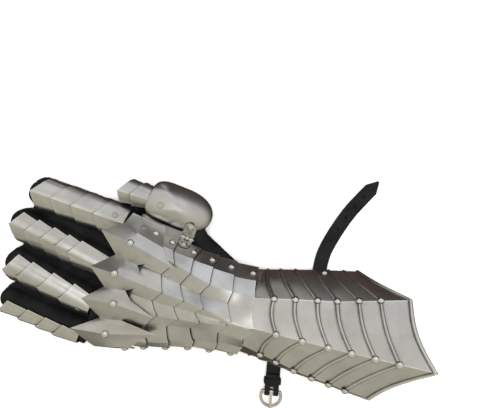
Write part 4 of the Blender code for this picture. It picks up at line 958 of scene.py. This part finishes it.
def ring_about(centre, direction, half, rise, power=2.0, swell=(0.0, 0.0)):
    """Ring across a direction. Its lower half is wider by the swell of each side."""
    forward = Vector(direction).normalized()
    side_way = Vector((0, 0, 1)).cross(forward).normalized()
    up = forward.cross(side_way)
    ring = []
    for step in range(SKIN_SIDES):
        angle = 2 * math.pi * step / SKIN_SIDES
        c, s = squarish(angle, power)
        low = min(max(-math.sin(angle) / math.sin(math.radians(SWELL_ANGLE)), 0.0), 1.0)
        wide = half + low * low * (3 - 2 * low) * (swell[0] if c > 0 else swell[1])
        ring.append(Vector(centre) + side_way * (c * wide) + up * (s * rise))
    return ring


def loft(name, *solids):
    """One piece of closed solids, each through rings of points with both its ends flat."""
    points, faces = [], []
    for rings in solids:
        start, sides = len(points), len(rings[0])
        points += [point for ring in rings for point in ring]
        faces.append(tuple(range(len(points) - sides, len(points))))
        faces.append(tuple(reversed(range(start, start + sides))))
        for ring in range(start, len(points) - sides, sides):
            for side in range(sides):
                a, b = ring + side, ring + (side + 1) % sides
                faces.append((a, b, b + sides, a + sides))
    return link(name, mesh_of(name, points, faces))


def finger_rings(root, tip, root_half, tip_half, swells):
    """Finger with a round end. Swells are those of its two sides, each at its root and its tip."""
    direction = (tip - root).normalized()
    long = (tip - root).length
    rings = []
    rounding = tip_half[0]
    steps = [(-4.0, 1.0), (0.0, 1.0), (long * 0.4, 1.0), (long * 0.75, 1.0)]
    for degrees in range(0, 90, 8):
        angle = math.radians(degrees)
        steps.append((long - rounding + rounding * math.sin(angle), math.cos(angle)**0.9))
    for step, shrink in steps:
        share = max(step, 0.0) / long
        half = (root_half[0] + (tip_half[0] - root_half[0]) * share) * shrink
        rise = (root_half[1] + (tip_half[1] - root_half[1]) * share) * shrink
        swell = [(at_root + (at_tip - at_root) * share) * shrink for at_root, at_tip in swells]
        rings.append(ring_about(root + direction * step, direction, half, rise, swell=swell))
    return rings


def finger_swell(name, other, end):
    """How far a glove finger swells to lie against the next one, at its root or its tip."""
    if other is None:
        return OUTER_SWELL
    apart = abs(FINGERS[name][end][1] - FINGERS[other][end][1])
    return (apart - FINGER_ROOM) / 2 / math.cos(math.radians(SWELL_ANGLE)) - FINGERS[name][end + "_half"]


rings = []
for index in range(len(GLOVE_SECTIONS) - 1):
    steps = HAND_STEPS + (1 if index == len(GLOVE_SECTIONS) - 2 else 0)
    for step in range(steps):
        share = step / HAND_STEPS
        a, b = GLOVE_SECTIONS[index], GLOVE_SECTIONS[index + 1]
        x, thumb_side, pinky_side, height = (p + (q - p) * share for p, q in zip(a, b))
        tall = (height + GLOVE_SUNK) / 2
        centre = Vector((x, (thumb_side + pinky_side) / 2, height - tall))
        ring = ring_about(centre, (1, 0, 0), (thumb_side - pinky_side) / 2, tall, GLOVE_POWER)
        for point in ring:
            point.z = max(point.z, GLOVE_FLOOR)
        rings.append(ring)
skin = [rings]
path = [Vector(p) for p in THUMB_BASE]
rings = []
for index, place in enumerate(path):
    direction = run_at(path, index) if index > 0 else place - THUMB_ENDS[1]
    rings.append(ring_about(place, direction, *THUMB_BASE_HALF[index]))
skin.append(rings)
order = [None, *FINGERS, None]
for index, name in enumerate(FINGERS):
    beside = (order[index + 2], order[index])
    swells = [[finger_swell(name, other, end) for end in ("root", "tip")] for other in beside]
    skin.append(finger_rings(*finger_ends(name), swells))
skin.append(finger_rings(*THUMB_ENDS, (THUMB_WEB, (0.0, 0.0))))
glove = loft("glove_skin", *skin)
remesh = glove.modifiers.new("one skin", "REMESH")
remesh.mode = "VOXEL"
remesh.voxel_size = SKIN_VOXEL * MM
smooth = glove.modifiers.new("even", "SMOOTH")
smooth.factor = 0.5
smooth.iterations = SKIN_SMOOTHINGS
settle(glove, 180.0)
hem_x = (GLOVE_SECTIONS[-1][0] - HEM_TRIM + SHIFT.x) * MM
kept = [face for face in glove.data.polygons if face.center.x < hem_x]
used = sorted({index for face in kept for index in face.vertices})
number = {index: place for place, index in enumerate(used)}
open_mesh = bpy.data.meshes.new("glove_skin")
open_mesh.from_pydata([glove.data.vertices[index].co.copy() for index in used], [],
                      [tuple(number[index] for index in face.vertices) for face in kept])
glove.data = open_mesh
normals = [vertex.normal.copy() for vertex in open_mesh.vertices]
for vertex, normal in zip(open_mesh.vertices, normals):
    place = vertex.co / MM
    crease = noise.noise(place * 0.06) * 0.5 + noise.noise(place * 0.17 + Vector((9, 3, 1))) * 0.25
    if vertex.co.z > CREASE_FLOOR * MM:
        vertex.co += normal * ((crease - CREASE_LOSS) * MM)
thicken(glove, LEATHER)
finish(settle(glove, 50.0), ["glove_hand", *["glove_" + name for name in FINGERS], "glove_thumb"],
       material=glove_leather, slot="leather")


# Straps: two 14 mm black straps cut from 2.5 mm leather. The long one is punched with five holes and pointed;
# the short one is folded round the buckle's bar and held by a leather keeper.
STRAP_WIDTH = 14.0
STRAP_THICK = 2.5
STRAP_REST = 0.25
LONG_STRAP_PATH = [(101.5, 10.5, 19), (100, 13.8, 9), (99, 17, 4), (97.5, 23, 1.6), (96.2, 30, 1.5),
                   (95.5, 40, 1.5), (96.7, 53, 1.5), (100, 71, 1.5), (104.7, 89, 1.5), (111.2, 106, 1.5)]
LONG_STRAP_TIP = (119.8, 127.0, 1.5)
LONG_STRAP_POINT = 11.0
STRAP_POINT_WIDTHS = (0.56, 0.12)
STRAP_HOLES = 5
STRAP_HOLE_RADIUS = 1.6
STRAP_HOLE_FIRST = 22.0
STRAP_HOLE_PITCH = 14.0
# Heights of a hole from the strap's middle. It stops short of the underside, so no floor shows through it.
# The black leather left at its bottom is a dark stand-in for the shade inside a punched-through hole.
STRAP_HOLE_SPAN = (-0.9, 5.0)
STRAP_HOLE_SIDES = 20
STRAP_EDGE = 0.45
strap_leather = black_leather("strap leather", 0.5, 0.42)


def smooth_path(points, steps):
    """Points of a smooth curve through the given ones."""
    path = []
    for index in range(len(points) - 1):
        p0, p1 = points[max(index - 1, 0)], points[index]
        p2, p3 = points[index + 1], points[min(index + 2, len(points) - 1)]
        for step in range(steps):
            t = step / steps
            path.append(0.5 * ((2 * p1) + (p2 - p0) * t + (2 * p0 - 5 * p1 + 4 * p2 - p3) * t * t
                               + (3 * p1 - p0 - 3 * p2 + p3) * t**3))
    return path + [points[-1]]


def band(name, path, widths, acrosses, thick):
    """Flat strap along a path."""
    rings = []
    for index, place in enumerate(path):
        up = acrosses[index].cross(run_at(path, index)).normalized() * (thick / 2)
        half = acrosses[index] * widths[index] / 2
        rings.append([place + half + up, place + half - up, place - half - up, place - half + up])
    return loft(name, rings)


def cut(obj, cutter):
    modifier = obj.modifiers.new("cut", "BOOLEAN")
    modifier.object = cutter
    modifier.operation = "DIFFERENCE"
    modifier.solver = "EXACT"
    settle(obj)
    bpy.data.objects.remove(cutter)


def finish_leather(obj, node, edge):
    """Rounds the cut edges of a leather piece and hands it in."""
    break_edges(obj, edge, 40.0, 3)
    finish(settle(obj), [node], material=strap_leather, slot="leather")


tip = Vector(LONG_STRAP_TIP)
path = [Vector(p) for p in LONG_STRAP_PATH]
shoulder = path[-1].lerp(tip, 1 - LONG_STRAP_POINT / (tip - path[-1]).length)
run = smooth_path(path + [shoulder], 6)
widths = [STRAP_WIDTH] * len(run)
run += [shoulder.lerp(tip, 0.5), tip]
widths += [STRAP_WIDTH * share for share in STRAP_POINT_WIDTHS]
ways = [run_at(run, index) for index in range(len(run))]
acrosses = [Vector((way.y, -way.x, 0)).normalized() for way in ways]
strap = band("long_strap_band", run, widths, acrosses, STRAP_THICK)
for index in range(STRAP_HOLES):
    left = STRAP_HOLE_FIRST + STRAP_HOLE_PITCH * index
    for near, far in zip(reversed(run[:-1]), reversed(run[1:])):
        if left <= (far - near).length:
            break
        left -= (far - near).length
    place = far.lerp(near, left / (far - near).length)
    rings = [[place + Vector((STRAP_HOLE_RADIUS * math.cos(2 * math.pi * side / STRAP_HOLE_SIDES),
                              STRAP_HOLE_RADIUS * math.sin(2 * math.pi * side / STRAP_HOLE_SIDES), height))
              for side in range(STRAP_HOLE_SIDES)] for height in STRAP_HOLE_SPAN]
    cut(strap, loft("hole", rings))
finish_leather(strap, "strap_long", STRAP_EDGE)

SHORT_STRAP_START = (88.5, -78.0)
SHORT_STRAP_DIRECTION = (0.28, -0.96)
SHORT_STRAP_LENGTH = 34.0
SHORT_STRAP_ROOT = [(-4.8, 19.0), (-1.9, 9.0), (0.3, 4.2), (3.4, 1.7), (9.0, 2.2)]
FLAP_BEYOND = 7.0
FOLD_STEPS = 16
KEEPER_WIDTH = 5.0
KEEPER_WALL = 1.2
KEEPER_AT = 11.0
KEEPER_EDGE = 0.4
FLAP_STEP = 0.5
BUCKLE_BAR_RADIUS = 1.3
TONGUE_SLOT_BACK = 5.5
TONGUE_SLOT_WIDTH = 4.2
forward = Vector((*SHORT_STRAP_DIRECTION, 0)).normalized()
across = Vector((forward.y, -forward.x, 0))
start = Vector((*SHORT_STRAP_START, 0))
up = Vector((0, 0, 1))
bar = start + forward * SHORT_STRAP_LENGTH + up * (STRAP_REST + STRAP_THICK + GAP + BUCKLE_BAR_RADIUS)
turn_radius = BUCKLE_BAR_RADIUS + GAP + STRAP_THICK / 2
keeper_z = KEEPER_WALL + GAP + STRAP_REST + STRAP_THICK / 2
keeper_at = SHORT_STRAP_LENGTH - KEEPER_AT
layer = STRAP_THICK + GAP
path = smooth_path([start + forward * s + up * z for s, z in SHORT_STRAP_ROOT], 4)
path += [start + forward * (keeper_at + away) + up * keeper_z for away in (-KEEPER_WIDTH, KEEPER_WIDTH / 2)]
for step in range(FOLD_STEPS + 1):
    angle = math.radians(-90 + 180 * step / FOLD_STEPS)
    path.append(bar + forward * (turn_radius * math.cos(angle)) + up * (turn_radius * math.sin(angle)))
path.append(start + forward * (keeper_at + KEEPER_WIDTH / 2 + FLAP_STEP) + up * (keeper_z + layer))
path.append(start + forward * (keeper_at - FLAP_BEYOND) + up * (keeper_z + layer))
strap = band("short_strap_band", path, [STRAP_WIDTH] * len(path), [across] * len(path), STRAP_THICK)
slot = [bar - forward * TONGUE_SLOT_BACK, bar + forward * (turn_radius + STRAP_THICK)]
cut(strap, band("slot", slot, [TONGUE_SLOT_WIDTH] * 2, [across] * 2, 6 * STRAP_THICK))
finish_leather(strap, "strap_short", STRAP_EDGE)
keeper = start + forward * keeper_at + up * (keeper_z + layer / 2)
inner_width = STRAP_WIDTH + 2 * GAP
inner_height = layer + STRAP_THICK + 2 * GAP
ends = [keeper - forward * (KEEPER_WIDTH / 2), keeper + forward * (KEEPER_WIDTH / 2)]
outer_width, outer_height = inner_width + 2 * KEEPER_WALL, inner_height + 2 * KEEPER_WALL
loop = band("keeper_loop", ends, [outer_width] * 2, [across] * 2, outer_height)
ends = [keeper - forward * KEEPER_WIDTH, keeper + forward * KEEPER_WIDTH]
cut(loop, band("inside", ends, [inner_width] * 2, [across] * 2, inner_height))
finish_leather(loop, "strap_keeper", KEEPER_EDGE)


# Buckle: a nickel-plated bow closed by a straight bar, and a tongue that turns on the bar.
BUCKLE_RADIUS = 10.2
BUCKLE_ROOM = 0.6
BUCKLE_STEPS = 48
BUCKLE_SIDES = 18
nickel = brushed_steel("nickel plate", (0.78, 0.76, 0.72), (0.70, 0.68, 0.64), 0.16, 0.08, 0.3)
half_bar = STRAP_WIDTH / 2 + BUCKLE_BAR_RADIUS + BUCKLE_ROOM
reach = math.sqrt(BUCKLE_RADIUS**2 - half_bar**2)
limit = math.atan2(half_bar, -reach)
path = []
for step in range(BUCKLE_STEPS + 1):
    angle = limit - 2 * limit * step / BUCKLE_STEPS
    ahead = forward * (reach + BUCKLE_RADIUS * math.cos(angle))
    path.append(bar + ahead + across * (BUCKLE_RADIUS * math.sin(angle)))
points, faces = [], []
for index in range(len(path)):
    before = (path[index] - path[index - 1]).normalized()
    after = (path[(index + 1) % len(path)] - path[index]).normalized()
    side_way = up.cross((before + after).normalized())
    miter = 1.0 / math.cos(before.angle(after) / 2)
    ring, next_ring = index * BUCKLE_SIDES, (index + 1) % len(path) * BUCKLE_SIDES
    for side in range(BUCKLE_SIDES):
        angle = 2 * math.pi * side / BUCKLE_SIDES
        out = side_way * (math.cos(angle) * BUCKLE_BAR_RADIUS * miter)
        points.append(path[index] + out + up * (math.sin(angle) * BUCKLE_BAR_RADIUS))
        nxt = (side + 1) % BUCKLE_SIDES
        faces.append((ring + side, ring + nxt, next_ring + nxt, next_ring + side))
bow = link("buckle_bow", mesh_of("buckle_bow", points, faces))
finish(settle(bow, 60.0), ["buckle_frame"], material=nickel, slot="nickel")
dressed("buckle_tongue", 0.3, 40.0, body="buckle_tongue", material=nickel, slot="nickel")

low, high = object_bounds()
